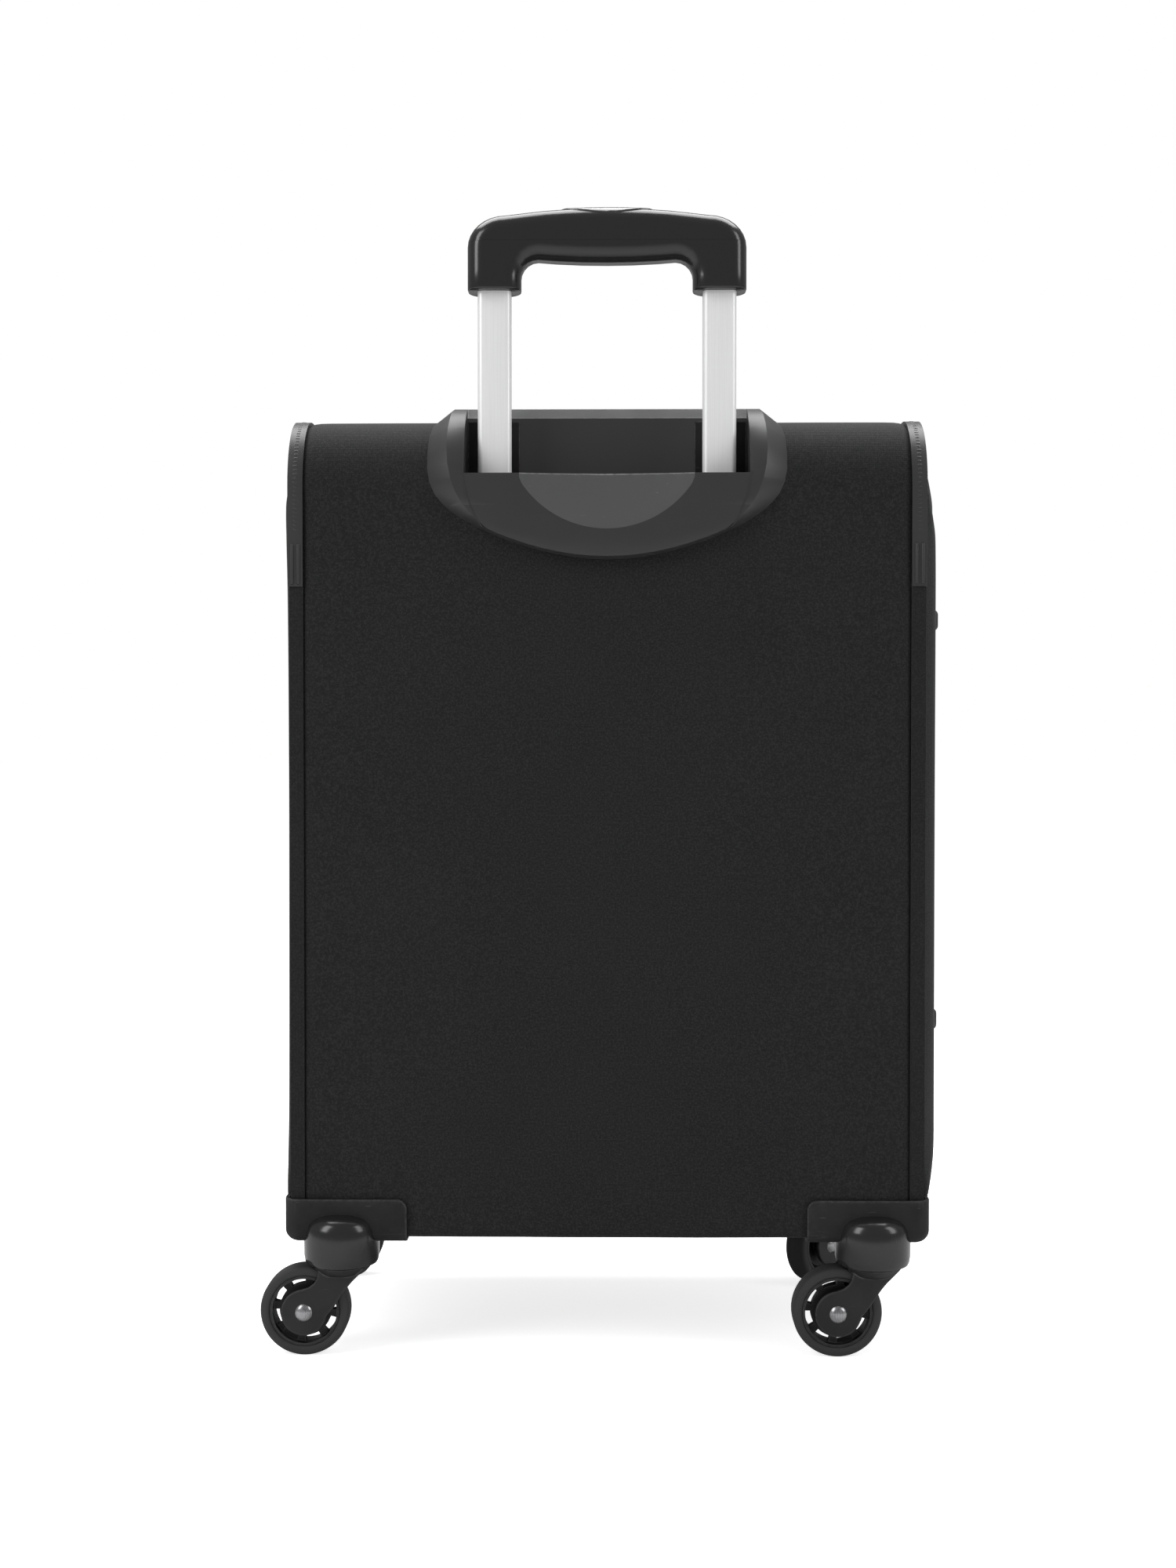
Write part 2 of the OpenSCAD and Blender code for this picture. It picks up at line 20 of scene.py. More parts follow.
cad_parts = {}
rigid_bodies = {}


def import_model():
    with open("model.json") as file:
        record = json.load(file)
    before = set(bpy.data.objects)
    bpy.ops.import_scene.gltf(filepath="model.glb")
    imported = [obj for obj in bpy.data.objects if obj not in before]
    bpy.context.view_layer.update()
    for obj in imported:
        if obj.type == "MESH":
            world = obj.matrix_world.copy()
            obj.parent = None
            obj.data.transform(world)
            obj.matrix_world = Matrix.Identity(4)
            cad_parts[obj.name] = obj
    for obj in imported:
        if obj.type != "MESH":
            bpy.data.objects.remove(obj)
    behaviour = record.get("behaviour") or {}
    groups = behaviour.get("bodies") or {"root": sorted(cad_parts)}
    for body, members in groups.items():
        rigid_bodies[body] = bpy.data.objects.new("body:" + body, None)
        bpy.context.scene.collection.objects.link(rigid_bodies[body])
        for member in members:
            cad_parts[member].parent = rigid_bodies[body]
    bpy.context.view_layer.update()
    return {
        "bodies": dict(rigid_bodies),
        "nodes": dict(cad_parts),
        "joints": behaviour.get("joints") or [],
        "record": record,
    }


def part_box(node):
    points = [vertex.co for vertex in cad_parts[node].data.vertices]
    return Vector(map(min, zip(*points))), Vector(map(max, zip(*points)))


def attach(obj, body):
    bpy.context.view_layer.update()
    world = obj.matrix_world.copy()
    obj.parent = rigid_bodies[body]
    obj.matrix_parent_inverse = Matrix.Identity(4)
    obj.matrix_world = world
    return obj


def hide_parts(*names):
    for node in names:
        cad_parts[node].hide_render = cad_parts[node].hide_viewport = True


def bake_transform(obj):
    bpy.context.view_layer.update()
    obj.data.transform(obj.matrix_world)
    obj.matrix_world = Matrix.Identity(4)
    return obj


log = logging.getLogger("suitcase")

MM = 0.001
Point = tuple[float, float, float]
Flat = tuple[float, float]


class Side(Enum):
    """The two sides of the case, seen from the trolley."""

    LEFT = -1
    RIGHT = 1


class End(Enum):
    """The trolley's end of the case and the lid's end."""

    REAR = "rear"
    FRONT = "front"


# ---------------------------------------------------------------- shader groups


class Graph:
    """A node tree that is being wired up."""

    def __init__(self, tree: bpy.types.NodeTree) -> None:
        """Starts from an empty tree.

        Args:
            tree: the material's or group's node tree.
        """
        self.tree = tree
        tree.nodes.clear()

    def node(self, kind: str, **values: object) -> bpy.types.Node:
        """Adds a node and sets its properties and input values.

        Args:
            kind: Blender's name for the node type.
            values: properties by name, or inputs by name with spaces as underscores.

        Returns:
            The new node.
        """
        made = self.tree.nodes.new(kind)
        for name, value in values.items():
            if hasattr(made, name):
                setattr(made, name, value)
            else:
                made.inputs[name.replace("_", " ")].default_value = value
        return made

    def link(self, source: bpy.types.NodeSocket, target: bpy.types.NodeSocket) -> None:
        """Joins an output to an input."""
        self.tree.links.new(source, target)

    def math(self, how: str, first: object, second: object = 0.5, clamp: bool = False) -> bpy.types.NodeSocket:
        """Adds a Math node.

        Args:
            how: the operation.
            first: a socket or a number.
            second: a socket or a number.
            clamp: keeps the result from 0 to 1.

        Returns:
            The node's output.
        """
        made = self.node("ShaderNodeMath", operation=how, use_clamp=clamp)
        for slot, value in zip(made.inputs, (first, second)):
            if isinstance(value, (int, float)):
                slot.default_value = value
            else:
                self.link(value, slot)
        return made.outputs[0]

    def spread(self, value: bpy.types.NodeSocket, low: float, high: float, out_low: float = 0.0,
               out_high: float = 1.0) -> bpy.types.NodeSocket:
        """Stretches a value from one range to another, smoothly.

        Args:
            value: the socket to stretch.
            low: value that becomes out_low.
            high: value that becomes out_high.
            out_low: lowest result.
            out_high: highest result.

        Returns:
            The result's socket.
        """
        made = self.node("ShaderNodeMapRange", interpolation_type="SMOOTHSTEP")
        self.link(value, made.inputs["Value"])
        for name, number in (("From Min", low), ("From Max", high), ("To Min", out_low), ("To Max", out_high)):
            made.inputs[name].default_value = number
        return made.outputs["Result"]


class Effects:
    """Shader node groups that several finishes share. Each is built once."""

    _made: dict[str, bpy.types.NodeTree] = {}

    @classmethod
    def _group(cls, name: str, inputs: dict[str, float], outputs: Sequence[str],
               wire: Callable[[Graph, bpy.types.Node, bpy.types.Node], None]) -> bpy.types.NodeTree:
        """Builds a group once and returns it.

        Args:
            name: the group's name.
            inputs: its number inputs and their values.
            outputs: its number outputs.
            wire: joins the inputs to the outputs.

        Returns:
            The group's node tree.
        """
        if name not in cls._made:
            tree = bpy.data.node_groups.new(name, "ShaderNodeTree")
            for label, value in inputs.items():
                tree.interface.new_socket(label, in_out="INPUT", socket_type="NodeSocketFloat").default_value = value
            for label in outputs:
                tree.interface.new_socket(label, in_out="OUTPUT", socket_type="NodeSocketFloat")
            graph = Graph(tree)
            wire(graph, graph.node("NodeGroupInput"), graph.node("NodeGroupOutput"))
            cls._made[name] = tree
        return cls._made[name]

    @classmethod
    def weave(cls) -> bpy.types.NodeTree:
        """Plain-woven cloth: Speckle is the thread-to-thread tone, Height the thread relief."""

        def wire(graph: Graph, given: bpy.types.Node, out: bpy.types.Node) -> None:
            """Lays a grid of threads and a fine speckle over the piece."""
            place = graph.node("ShaderNodeTexCoord").outputs["Object"]
            axes = graph.node("ShaderNodeSeparateXYZ")
            graph.link(place, axes.inputs[0])
            total: object = 0.0
            for axis in axes.outputs:
                phase = graph.math("MULTIPLY", axis, given.outputs["Threads"])
                total = graph.math("ADD", graph.math("SINE", phase), total)
            fine = graph.node("ShaderNodeTexNoise", Detail=3.0, Roughness=0.7)
            graph.link(place, fine.inputs["Vector"])
            graph.link(given.outputs["Grain"], fine.inputs["Scale"])
            broad = graph.node("ShaderNodeTexNoise", Scale=14.0, Detail=2.0)
            graph.link(place, broad.inputs["Vector"])
            flecks = graph.spread(fine.outputs["Fac"], 0.4, 0.68)
            drift = graph.math("MULTIPLY", graph.spread(broad.outputs["Fac"], 0.3, 0.7), 0.07)
            tone = graph.math("ADD", graph.math("MULTIPLY", flecks, 0.8), drift, clamp=True)
            graph.link(tone, out.inputs["Speckle"])
            relief = graph.math("ADD", graph.math("MULTIPLY", total, 0.16), fine.outputs["Fac"])
            graph.link(relief, out.inputs["Height"])

        return cls._group("woven_cloth", {"Threads": 5200.0, "Grain": 900.0}, ("Speckle", "Height"), wire)

    @classmethod
    def grain(cls) -> bpy.types.NodeTree:
        """Moulded plastic: Height is its fine grain, Smudge a slow change of its shine."""

        def wire(graph: Graph, given: bpy.types.Node, out: bpy.types.Node) -> None:
            """Two noises, one fine and one broad."""
            place = graph.node("ShaderNodeTexCoord").outputs["Object"]
            fine = graph.node("ShaderNodeTexNoise", Detail=2.0)
            graph.link(place, fine.inputs["Vector"])
            graph.link(given.outputs["Grain"], fine.inputs["Scale"])
            broad = graph.node("ShaderNodeTexNoise", Scale=38.0, Detail=4.0, Roughness=0.6)
            graph.link(place, broad.inputs["Vector"])
            graph.link(fine.outputs["Fac"], out.inputs["Height"])
            graph.link(graph.spread(broad.outputs["Fac"], 0.35, 0.68), out.inputs["Smudge"])

        return cls._group("moulded_grain", {"Grain": 1400.0}, ("Height", "Smudge"), wire)

    @classmethod
    def wear_and_highlight(cls) -> bpy.types.NodeTree:
        """Handling scuffs and painted highlights: Edges is where corners are rubbed bright and also carry a painted
        highlight, Scuffs the fine scratches.
        """

        def wire(graph: Graph, given: bpy.types.Node, out: bpy.types.Node) -> None:
            """Compares the true normal with one rounded over the given radius."""
            round_over = graph.node("ShaderNodeBevel", samples=4)
            graph.link(given.outputs["Radius"], round_over.inputs["Radius"])
            facing = graph.node("ShaderNodeVectorMath", operation="DOT_PRODUCT")
            graph.link(round_over.outputs["Normal"], facing.inputs[0])
            graph.link(graph.node("ShaderNodeNewGeometry").outputs["True Normal"], facing.inputs[1])
            place = graph.node("ShaderNodeTexCoord").outputs["Object"]
            broken = graph.node("ShaderNodeTexNoise", Scale=260.0, Detail=4.0, Roughness=0.7)
            graph.link(place, broken.inputs["Vector"])
            # The edge mask is partly rubbed plastic and partly a painted highlight where sharp rims catch the light.
            edge = graph.spread(facing.outputs["Value"], 0.995, 0.92)
            patchy = graph.spread(broken.outputs["Fac"], 0.3, 0.62, 0.25, 1.0)
            graph.link(graph.math("MULTIPLY", edge, patchy), out.inputs["Edges"])
            turned = graph.node("ShaderNodeMapping")
            turned.inputs["Rotation"].default_value = (0.3, 0.9, 0.5)
            turned.inputs["Scale"].default_value = (1.0, 14.0, 9.0)
            graph.link(place, turned.inputs["Vector"])
            lines = graph.node("ShaderNodeTexNoise", Scale=70.0, Detail=2.0)
            graph.link(turned.outputs[0], lines.inputs["Vector"])
            graph.link(graph.spread(lines.outputs["Fac"], 0.7, 0.78), out.inputs["Scuffs"])

        return cls._group("handling_wear", {"Radius": 0.0011}, ("Edges", "Scuffs"), wire)

    @classmethod
    def drawn(cls) -> bpy.types.NodeTree:
        """Drawn metal: Height and Tone run in fine lines along Z."""

        def wire(graph: Graph, given: bpy.types.Node, out: bpy.types.Node) -> None:
            """Stretches a noise along the tube."""
            place = graph.node("ShaderNodeTexCoord").outputs["Object"]
            turned = graph.node("ShaderNodeMapping")
            turned.inputs["Scale"].default_value = (1.0, 1.0, 0.012)
            graph.link(place, turned.inputs["Vector"])
            lines = graph.node("ShaderNodeTexNoise", Detail=2.0)
            graph.link(turned.outputs[0], lines.inputs["Vector"])
            graph.link(given.outputs["Lines"], lines.inputs["Scale"])
            graph.link(lines.outputs["Fac"], out.inputs["Height"])
            graph.link(graph.spread(lines.outputs["Fac"], 0.35, 0.65), out.inputs["Tone"])

        return cls._group("drawn_metal", {"Lines": 1600.0}, ("Height", "Tone"), wire)


# ---------------------------------------------------------------- finishes


@dataclass(frozen=True)
class Finish:
    """A surface finish: a material that is made once and shared by its pieces."""

    name: str
    slot: str
    color: Point
    roughness: float
    bump: float = 0.1
    bump_depth: float = 0.0002

    def material(self) -> bpy.types.Material:
        """Returns the finish's material, made the first time."""
        found = bpy.data.materials.get(self.name)
        if found:
            return found
        made = bpy.data.materials.new(self.name)
        made.use_nodes = True
        graph = Graph(made.node_tree)
        shader = graph.node("ShaderNodeBsdfPrincipled", Roughness=self.roughness)
        shader.inputs["Base Color"].default_value = (*self.color, 1.0)
        out = graph.node("ShaderNodeOutputMaterial")
        graph.link(shader.outputs[0], out.inputs[0])
        self.dress(graph, shader)
        return made

    def dress(self, graph: Graph, shader: bpy.types.Node) -> None:
        """Adds the finish's own detail to the plain shader."""

    def effect(self, graph: Graph, tree: bpy.types.NodeTree, **values: float) -> bpy.types.Node:
        """Places a shared group in this material.

        Args:
            graph: the material's graph.
            tree: the group.
            values: the group's inputs by name.

        Returns:
            The group's node.
        """
        placed = graph.node("ShaderNodeGroup", node_tree=tree)
        for name, value in values.items():
            placed.inputs[name].default_value = value
        return placed

    def relief(self, graph: Graph, shader: bpy.types.Node, height: bpy.types.NodeSocket) -> None:
        """Feeds a height into the shader's normal.

        Args:
            graph: the material's graph.
            shader: its Principled BSDF.
            height: the height from 0 to 1.
        """
        bump = graph.node("ShaderNodeBump", Strength=self.bump, Distance=self.bump_depth)
        graph.link(height, bump.inputs["Height"])
        graph.link(bump.outputs[0], shader.inputs["Normal"])

    def tint(self, graph: Graph, shader: bpy.types.Node, mask: bpy.types.NodeSocket, other: Point) -> None:
        """Mixes the base colour with another by a mask.

        Args:
            graph: the material's graph.
            shader: its Principled BSDF.
            mask: 0 for the finish's colour and 1 for the other.
            other: the other colour.
        """
        mix = graph.node("ShaderNodeMix", data_type="RGBA")
        graph.link(mask, mix.inputs[0])
        source = shader.inputs["Base Color"]
        if source.is_linked:
            graph.link(source.links[0].from_socket, mix.inputs[6])
        else:
            mix.inputs[6].default_value = (*self.color, 1.0)
        mix.inputs[7].default_value = (*other, 1.0)
        graph.link(mix.outputs[2], source)


@dataclass(frozen=True)
class Cloth(Finish):
    """Woven polyester with a pale speckle."""

    fleck: Point = (0.075, 0.075, 0.078)
    threads: float = 5200.0
    grain: float = 900.0
    sheen: float = 0.25

    def dress(self, graph: Graph, shader: bpy.types.Node) -> None:
        """Adds the weave, its flecks and a soft sheen."""
        weave = self.effect(graph, Effects.weave(), Threads=self.threads, Grain=self.grain)
        self.tint(graph, shader, weave.outputs["Speckle"], self.fleck)
        self.relief(graph, shader, weave.outputs["Height"])
        shader.inputs["Sheen Weight"].default_value = self.sheen
        shader.inputs["Sheen Roughness"].default_value = 0.4
        shader.inputs["Specular IOR Level"].default_value = 0.3


@dataclass(frozen=True)
class Plastic(Finish):
    """Moulded plastic with grain, smudges, scuffs and rubbed edges; the edge lightening is partly a painted highlight.
    """

    grain: float = 1400.0
    smudge: float = 0.12
    scuff_and_highlight_color: Point = (0.12, 0.12, 0.125)
    edge: float = 0.0012
    coat: float = 0.0

    def dress(self, graph: Graph, shader: bpy.types.Node) -> None:
        """Adds grain, a roughness that drifts, and rubbed, lightened edges that are partly a painted highlight."""
        grain = self.effect(graph, Effects.grain(), Grain=self.grain)
        wear_and_highlight = self.effect(graph, Effects.wear_and_highlight(), Radius=self.edge)
        # Rims and scuffs take the second colour: rubbed plastic, with a painted highlight on the rims.
        scuff_and_highlight_mask = graph.math("MAXIMUM", wear_and_highlight.outputs["Edges"], graph.math("MULTIPLY", wear_and_highlight.outputs["Scuffs"], 0.35))
        self.tint(graph, shader, scuff_and_highlight_mask, self.scuff_and_highlight_color)
        self.relief(graph, shader, grain.outputs["Height"])
        drift = graph.math("MULTIPLY", grain.outputs["Smudge"], self.smudge)
        graph.link(graph.math("ADD", drift, self.roughness), shader.inputs["Roughness"])
        shader.inputs["Coat Weight"].default_value = self.coat
        shader.inputs["Coat Roughness"].default_value = 0.12


@dataclass(frozen=True)
class Metal(Finish):
    """Bare or anodised metal with fine drawing lines."""

    lines: float = 1600.0
    dark: Point = (0.55, 0.55, 0.56)
    metallic: float = 1.0

    def dress(self, graph: Graph, shader: bpy.types.Node) -> None:
        """Adds the drawing lines to the tone, the shine and the relief."""
        shader.inputs["Metallic"].default_value = self.metallic
        drawn = self.effect(graph, Effects.drawn(), Lines=self.lines)
        self.tint(graph, shader, graph.math("MULTIPLY", drawn.outputs["Tone"], 0.35), self.dark)
        self.relief(graph, shader, drawn.outputs["Height"])
        drift = graph.math("MULTIPLY", drawn.outputs["Tone"], 0.08)
        graph.link(graph.math("ADD", drift, self.roughness), shader.inputs["Roughness"])


CANVAS = Cloth("black_canvas", "shell_fabric", (0.007, 0.007, 0.0073), 0.85, bump=0.3, bump_depth=0.0003,
               fleck=(0.025, 0.025, 0.026), sheen=0.07)
BINDING = Cloth("binding_tape", "shell_fabric", (0.0065, 0.0065, 0.007), 0.8, bump=0.4, bump_depth=0.0004,
                fleck=(0.019, 0.019, 0.02), threads=3600.0, sheen=0.1)
WEBBING = Cloth("black_webbing", "webbing", (0.011, 0.011, 0.012), 0.7, bump=0.6, bump_depth=0.0006,
                fleck=(0.04, 0.04, 0.042), threads=2600.0, sheen=0.3)
ZIP_TAPE = Cloth("zip_tape_cloth", "zip_tape", (0.009, 0.009, 0.0095), 0.75, bump=0.4, bump_depth=0.0003,
                 fleck=(0.03, 0.03, 0.031), threads=6400.0)
LINING = Cloth("grey_lining", "lining_fabric", (0.11, 0.115, 0.125), 0.6, bump=0.2, bump_depth=0.0002,
               fleck=(0.16, 0.165, 0.175), threads=9000.0, sheen=0.6)
# Each plastic's second, paler colour goes on its scuffs and rims; on the rims it is partly a painted highlight.
SATIN = Plastic("satin_plastic", "satin_plastic", (0.017, 0.017, 0.0175), 0.42, bump=0.12, scuff_and_highlight_color=(0.3, 0.3, 0.305))
# A copy of the satin plastic five times lighter: painted light on the finger scoop, whose dish faces up to the key
# light, and on the far chamfer.
LIT_SATIN = Plastic("polished_plastic", "satin_plastic", (0.085, 0.085, 0.087), 0.3, bump=0.05, smudge=0.06,
                scuff_and_highlight_color=(0.3, 0.3, 0.305))
GUARD = Plastic("guard_plastic", "satin_plastic", (0.002, 0.002, 0.0021), 0.7, bump=0.25, grain=1000.0,
                scuff_and_highlight_color=(0.09, 0.09, 0.092))
GLOSS = Plastic("gloss_plastic", "gloss_plastic", (0.007, 0.007, 0.0073), 0.25, bump=0.05, smudge=0.12,
                scuff_and_highlight_color=(0.05, 0.05, 0.051), coat=0.25)
# A copy of the gloss plastic four times lighter: a painted highlight on the release button's raised crown.
BUTTON_HIGHLIGHT = Plastic("button_plastic", "gloss_plastic", (0.03, 0.03, 0.031), 0.2, bump=0.03, smudge=0.05,
                 scuff_and_highlight_color=(0.1, 0.1, 0.1), coat=0.4)
WHEEL = Plastic("wheel_plastic", "satin_plastic", (0.004, 0.004, 0.0042), 0.5, bump=0.15, scuff_and_highlight_color=(0.07, 0.07, 0.07))
TYRE = Plastic("tyre_rubber", "tyre_rubber", (0.007, 0.007, 0.0073), 0.66, bump=0.4, grain=800.0,
               scuff_and_highlight_color=(0.05, 0.05, 0.05))
# Near-black sheet colour: painted shade for the deep channels beside the pocket's tubes.
CHANNEL_SHADE = Plastic("channel_pad", "satin_plastic", (0.003, 0.003, 0.003), 0.8, bump=0.1)
COIL = Plastic("zip_coil", "zip_tape", (0.014, 0.014, 0.015), 0.35, bump=0.05)
BOARD = Plastic("board_plastic", "board_plastic", (0.2, 0.2, 0.21), 0.6)
ANODISED = Metal("anodised_tube", "tube_aluminium", (0.98, 0.98, 0.983), 0.32, bump=0.05, dark=(0.84, 0.84, 0.85),
                 metallic=0.2)
STEEL = Metal("bright_steel", "steel", (0.3, 0.3, 0.31), 0.25, bump=0.05)
GUNMETAL = Metal("gunmetal", "slider_metal", (0.1, 0.1, 0.105), 0.32, bump=0.08, dark=(0.05, 0.05, 0.052))


# ---------------------------------------------------------------- modelling


@dataclass
class Datum:
    """Where the case's own millimetres lie in the part's frame."""

    back_y: float

    def matrix(self) -> Matrix:
        """Turns case millimetres into the part's metres."""
        return Matrix.Translation((0.0, self.back_y, 0.0)) @ Matrix.Scale(MM, 4)


class Form:
    """A mesh in the making, in case millimetres."""

    datum = Datum(0.0)

    def __init__(self) -> None:
        """Starts empty."""
        self.bm = bmesh.new()

    # -- starting shapes

    def face(self, points: Iterable[Point]) -> bmesh.types.BMFace:
        """Adds one flat face through points in order."""
        return self.bm.faces.new([self.bm.verts.new(p) for p in points])

    def panel(self, low: Flat, high: Flat, radii: Sequence[float], plane: str, level: float,
              steps: int = 8) -> bmesh.types.BMFace:
        """Adds a rectangle with rounded corners.

        Args:
            low: its lowest corner in the plane.
            high: its highest corner in the plane.
            radii: corner radii, low left, low right, top right, top left.
            plane: the two axes it lies in, "xz", "yz" or "xy".
            level: its place along the third axis.
            steps: segments in each corner.

        Returns:
            The face.
        """
        corners = [(low[0], low[1]), (high[0], low[1]), (high[0], high[1]), (low[0], high[1])]
        return self.shape(corners, radii, plane, level, steps)

    def shape(self, corners: Sequence[Flat], radii: Sequence[float], plane: str, level: float,
              steps: int = 8) -> bmesh.types.BMFace:
        """Adds a polygon with rounded corners.

        Args:
            corners: its corners in the plane.
            radii: how far each corner's round reaches along its edges.
            plane: the two axes it lies in.
            level: its place along the third axis.
            steps: segments in each round.

        Returns:
            The face.
        """
        made = self.face([spot(c, plane, level) for c in corners])
        for vert, radius in zip(list(made.verts), radii):
            if radius > 0:
                bmesh.ops.bevel(self.bm, geom=[vert], offset=radius, offset_type="OFFSET", segments=steps,
                                profile=0.5, affect="VERTICES", material=-1)
        return max(self.bm.faces, key=lambda f: f.index if f.index >= 0 else len(self.bm.faces))

    def block(self, low: Point, high: Point) -> list[bmesh.types.BMVert]:
        """Adds a box between two corners and returns its vertices."""
        size = Vector(high) - Vector(low)
        place = Matrix.Translation((Vector(low) + Vector(high)) / 2) @ Matrix.Diagonal((*size, 1.0))
        return bmesh.ops.create_cube(self.bm, size=1.0, matrix=place)["verts"]

    def turned(self, profile: Sequence[Flat], centre: Point, axis: Point, steps: int = 48,
               start: Point | None = None) -> None:
        """Adds a solid of revolution.

        Args:
            profile: (radius, height along the axis) from one end to the other.
            centre: a point on the axis.
            axis: the axis's direction.
            steps: segments round it.
            start: direction of the first radius, any across the axis if left out.
        """
        along = Vector(axis).normalized()
        out = Vector(start).normalized() if start else along.orthogonal().normalized()
        verts = [self.bm.verts.new(Vector(centre) + out * r + along * h) for r, h in profile]
        edges = [self.bm.edges.new(pair) for pair in zip(verts, verts[1:])]
        bmesh.ops.spin(self.bm, geom=verts + edges, cent=centre, axis=along, dvec=(0, 0, 0),
                       angle=math.tau, steps=steps, use_merge=True, use_duplicate=False)
        self.weld(0.001)

    # -- changing shapes

    def extrude(self, faces: Iterable[bmesh.types.BMFace], move: Point) -> list[bmesh.types.BMVert]:
        """Pushes faces out along a vector and returns the new vertices."""
        grown = bmesh.ops.extrude_face_region(self.bm, geom=list(faces))["geom"]
        verts = [g for g in grown if isinstance(g, bmesh.types.BMVert)]
        bmesh.ops.translate(self.bm, verts=verts, vec=move)
        return verts

    def weld(self, distance: float = 0.01) -> None:
        """Merges vertices that meet."""
        bmesh.ops.remove_doubles(self.bm, verts=self.bm.verts, dist=distance)

    def edges(self, chosen: Callable[[bmesh.types.BMEdge], bool] | None = None,
              angle: float = 30.0) -> list[bmesh.types.BMEdge]:
        """The sharp edges, or those of them that a test picks.

        Args:
            chosen: a test on an edge.
            angle: the least angle between its faces, in degrees.

        Returns:
            The edges.
        """
        self.bm.normal_update()
        sharp = [e for e in self.bm.edges if len(e.link_faces) == 2
                 and e.calc_face_angle(0.0) > math.radians(angle)]
        return [e for e in sharp if chosen is None or chosen(e)]

    def bevel(self, width: float, segments: int = 3,
              chosen: Callable[[bmesh.types.BMEdge], bool] | None = None, angle: float = 30.0) -> None:
        """Rounds sharp edges.

        Args:
            width: how far the round reaches.
            segments: faces across it.
            chosen: a test that picks edges.
            angle: the least angle that counts as sharp.
        """
        bmesh.ops.bevel(self.bm, geom=self.edges(chosen, angle), offset=width, offset_type="OFFSET",
                        segments=segments, profile=0.5, affect="EDGES", clamp_overlap=True, material=-1)

    def cut(self, point: Point, normal: Point, drop: bool = False, fill: bool = False) -> None:
        """Cuts the mesh with a plane.

        Args:
            point: a point on the plane.
            normal: its normal.
            drop: removes what lies on the normal's side.
            fill: closes the cut.
        """
        geom = [*self.bm.verts, *self.bm.edges, *self.bm.faces]
        made = bmesh.ops.bisect_plane(self.bm, geom=geom, plane_co=point, plane_no=normal, clear_outer=drop)
        if fill:
            rim = [g for g in made["geom_cut"] if isinstance(g, bmesh.types.BMEdge)]
            bmesh.ops.holes_fill(self.bm, edges=rim, sides=0)

    def slice(self, axis: int, places: Iterable[float]) -> None:
        """Cuts the mesh across an axis at several places."""
        normal = [0.0, 0.0, 0.0]
        normal[axis] = 1.0
        for place in places:
            self.cut(tuple(place if i == axis else 0.0 for i in range(3)), tuple(normal))

    def drop_faces(self, chosen: Callable[[bmesh.types.BMFace], bool]) -> None:
        """Deletes the faces that a test picks."""
        bmesh.ops.delete(self.bm, geom=[f for f in self.bm.faces if chosen(f)], context="FACES")

    def shift(self, how: Callable[[Vector], Vector]) -> Form:
        """Moves each vertex to where a rule puts it, and returns the form."""
        for vert in self.bm.verts:
            vert.co = how(vert.co)
        return self

    def copies(self, places: Iterable[Matrix]) -> Form:
        """Repeats the form at several places, without the original.

        Args:
            places: a matrix for each copy.

        Returns:
            The form.
        """
        first = [*self.bm.verts, *self.bm.edges, *self.bm.faces]
        for place in places:
            made = bmesh.ops.duplicate(self.bm, geom=first)["geom"]
            bmesh.ops.transform(self.bm, matrix=place, verts=[g for g in made if isinstance(g, bmesh.types.BMVert)])
        bmesh.ops.delete(self.bm, geom=[g for g in first if isinstance(g, bmesh.types.BMVert)], context="VERTS")
        return self

    def mirrored(self, side: Side) -> Form:
        """Turns a right-hand form into the side's own, and returns it."""
        if side is Side.LEFT:
            bmesh.ops.scale(self.bm, vec=(-1, 1, 1), verts=self.bm.verts)
            bmesh.ops.reverse_faces(self.bm, faces=self.bm.faces)
        return self

    # -- finishing

    def make(self, name: str, finish: Finish, outward: bool = True) -> bpy.types.Object:
        """Turns the form into an object in the part's frame.

        Args:
            name: the piece's name.
            finish: its finish.
            outward: recalculates the faces' directions first.

        Returns:
            The object.
        """
        if outward:
            bmesh.ops.recalc_face_normals(self.bm, faces=self.bm.faces)
        self.bm.transform(Form.datum.matrix())
        mesh = bpy.data.meshes.new(name)
        self.bm.to_mesh(mesh)
        self.bm.free()
        made = bpy.data.objects.new(name, mesh)
        bpy.context.scene.collection.objects.link(made)
        mesh.materials.append(finish.material())
        return made


def spot(flat: Flat, plane: str, level: float) -> Point:
    """Places a flat point in one of the three planes."""
    a, b = flat
    return {"xz": (a, level, b), "yz": (level, a, b), "xy": (a, b, level)}[plane]


def smooth(piece: bpy.types.Object, degrees: float = 32.0) -> bpy.types.Object:
    """Shades a piece smoothly except over its sharp edges."""
    piece.data.shade_smooth()
    piece.data.set_sharp_from_angle(angle=math.radians(degrees))
    return piece


def settle(piece: bpy.types.Object) -> None:
    """Applies the modifiers of a piece to its mesh."""
    graph = bpy.context.evaluated_depsgraph_get()
    done = bpy.data.meshes.new_from_object(piece.evaluated_get(graph), depsgraph=graph)
    old = piece.data
    piece.modifiers.clear()
    piece.data = done
    bpy.data.meshes.remove(old)


def carve(piece: bpy.types.Object, tool: bpy.types.Object, how: str = "DIFFERENCE") -> None:
    """Cuts a piece with another, or joins them, and removes the other."""
    change = piece.modifiers.new("carve", "BOOLEAN")
    change.operation = how
    change.solver = "EXACT"
    change.material_mode = "TRANSFER"
    change.object = tool
    settle(piece)
    bpy.data.objects.remove(tool)


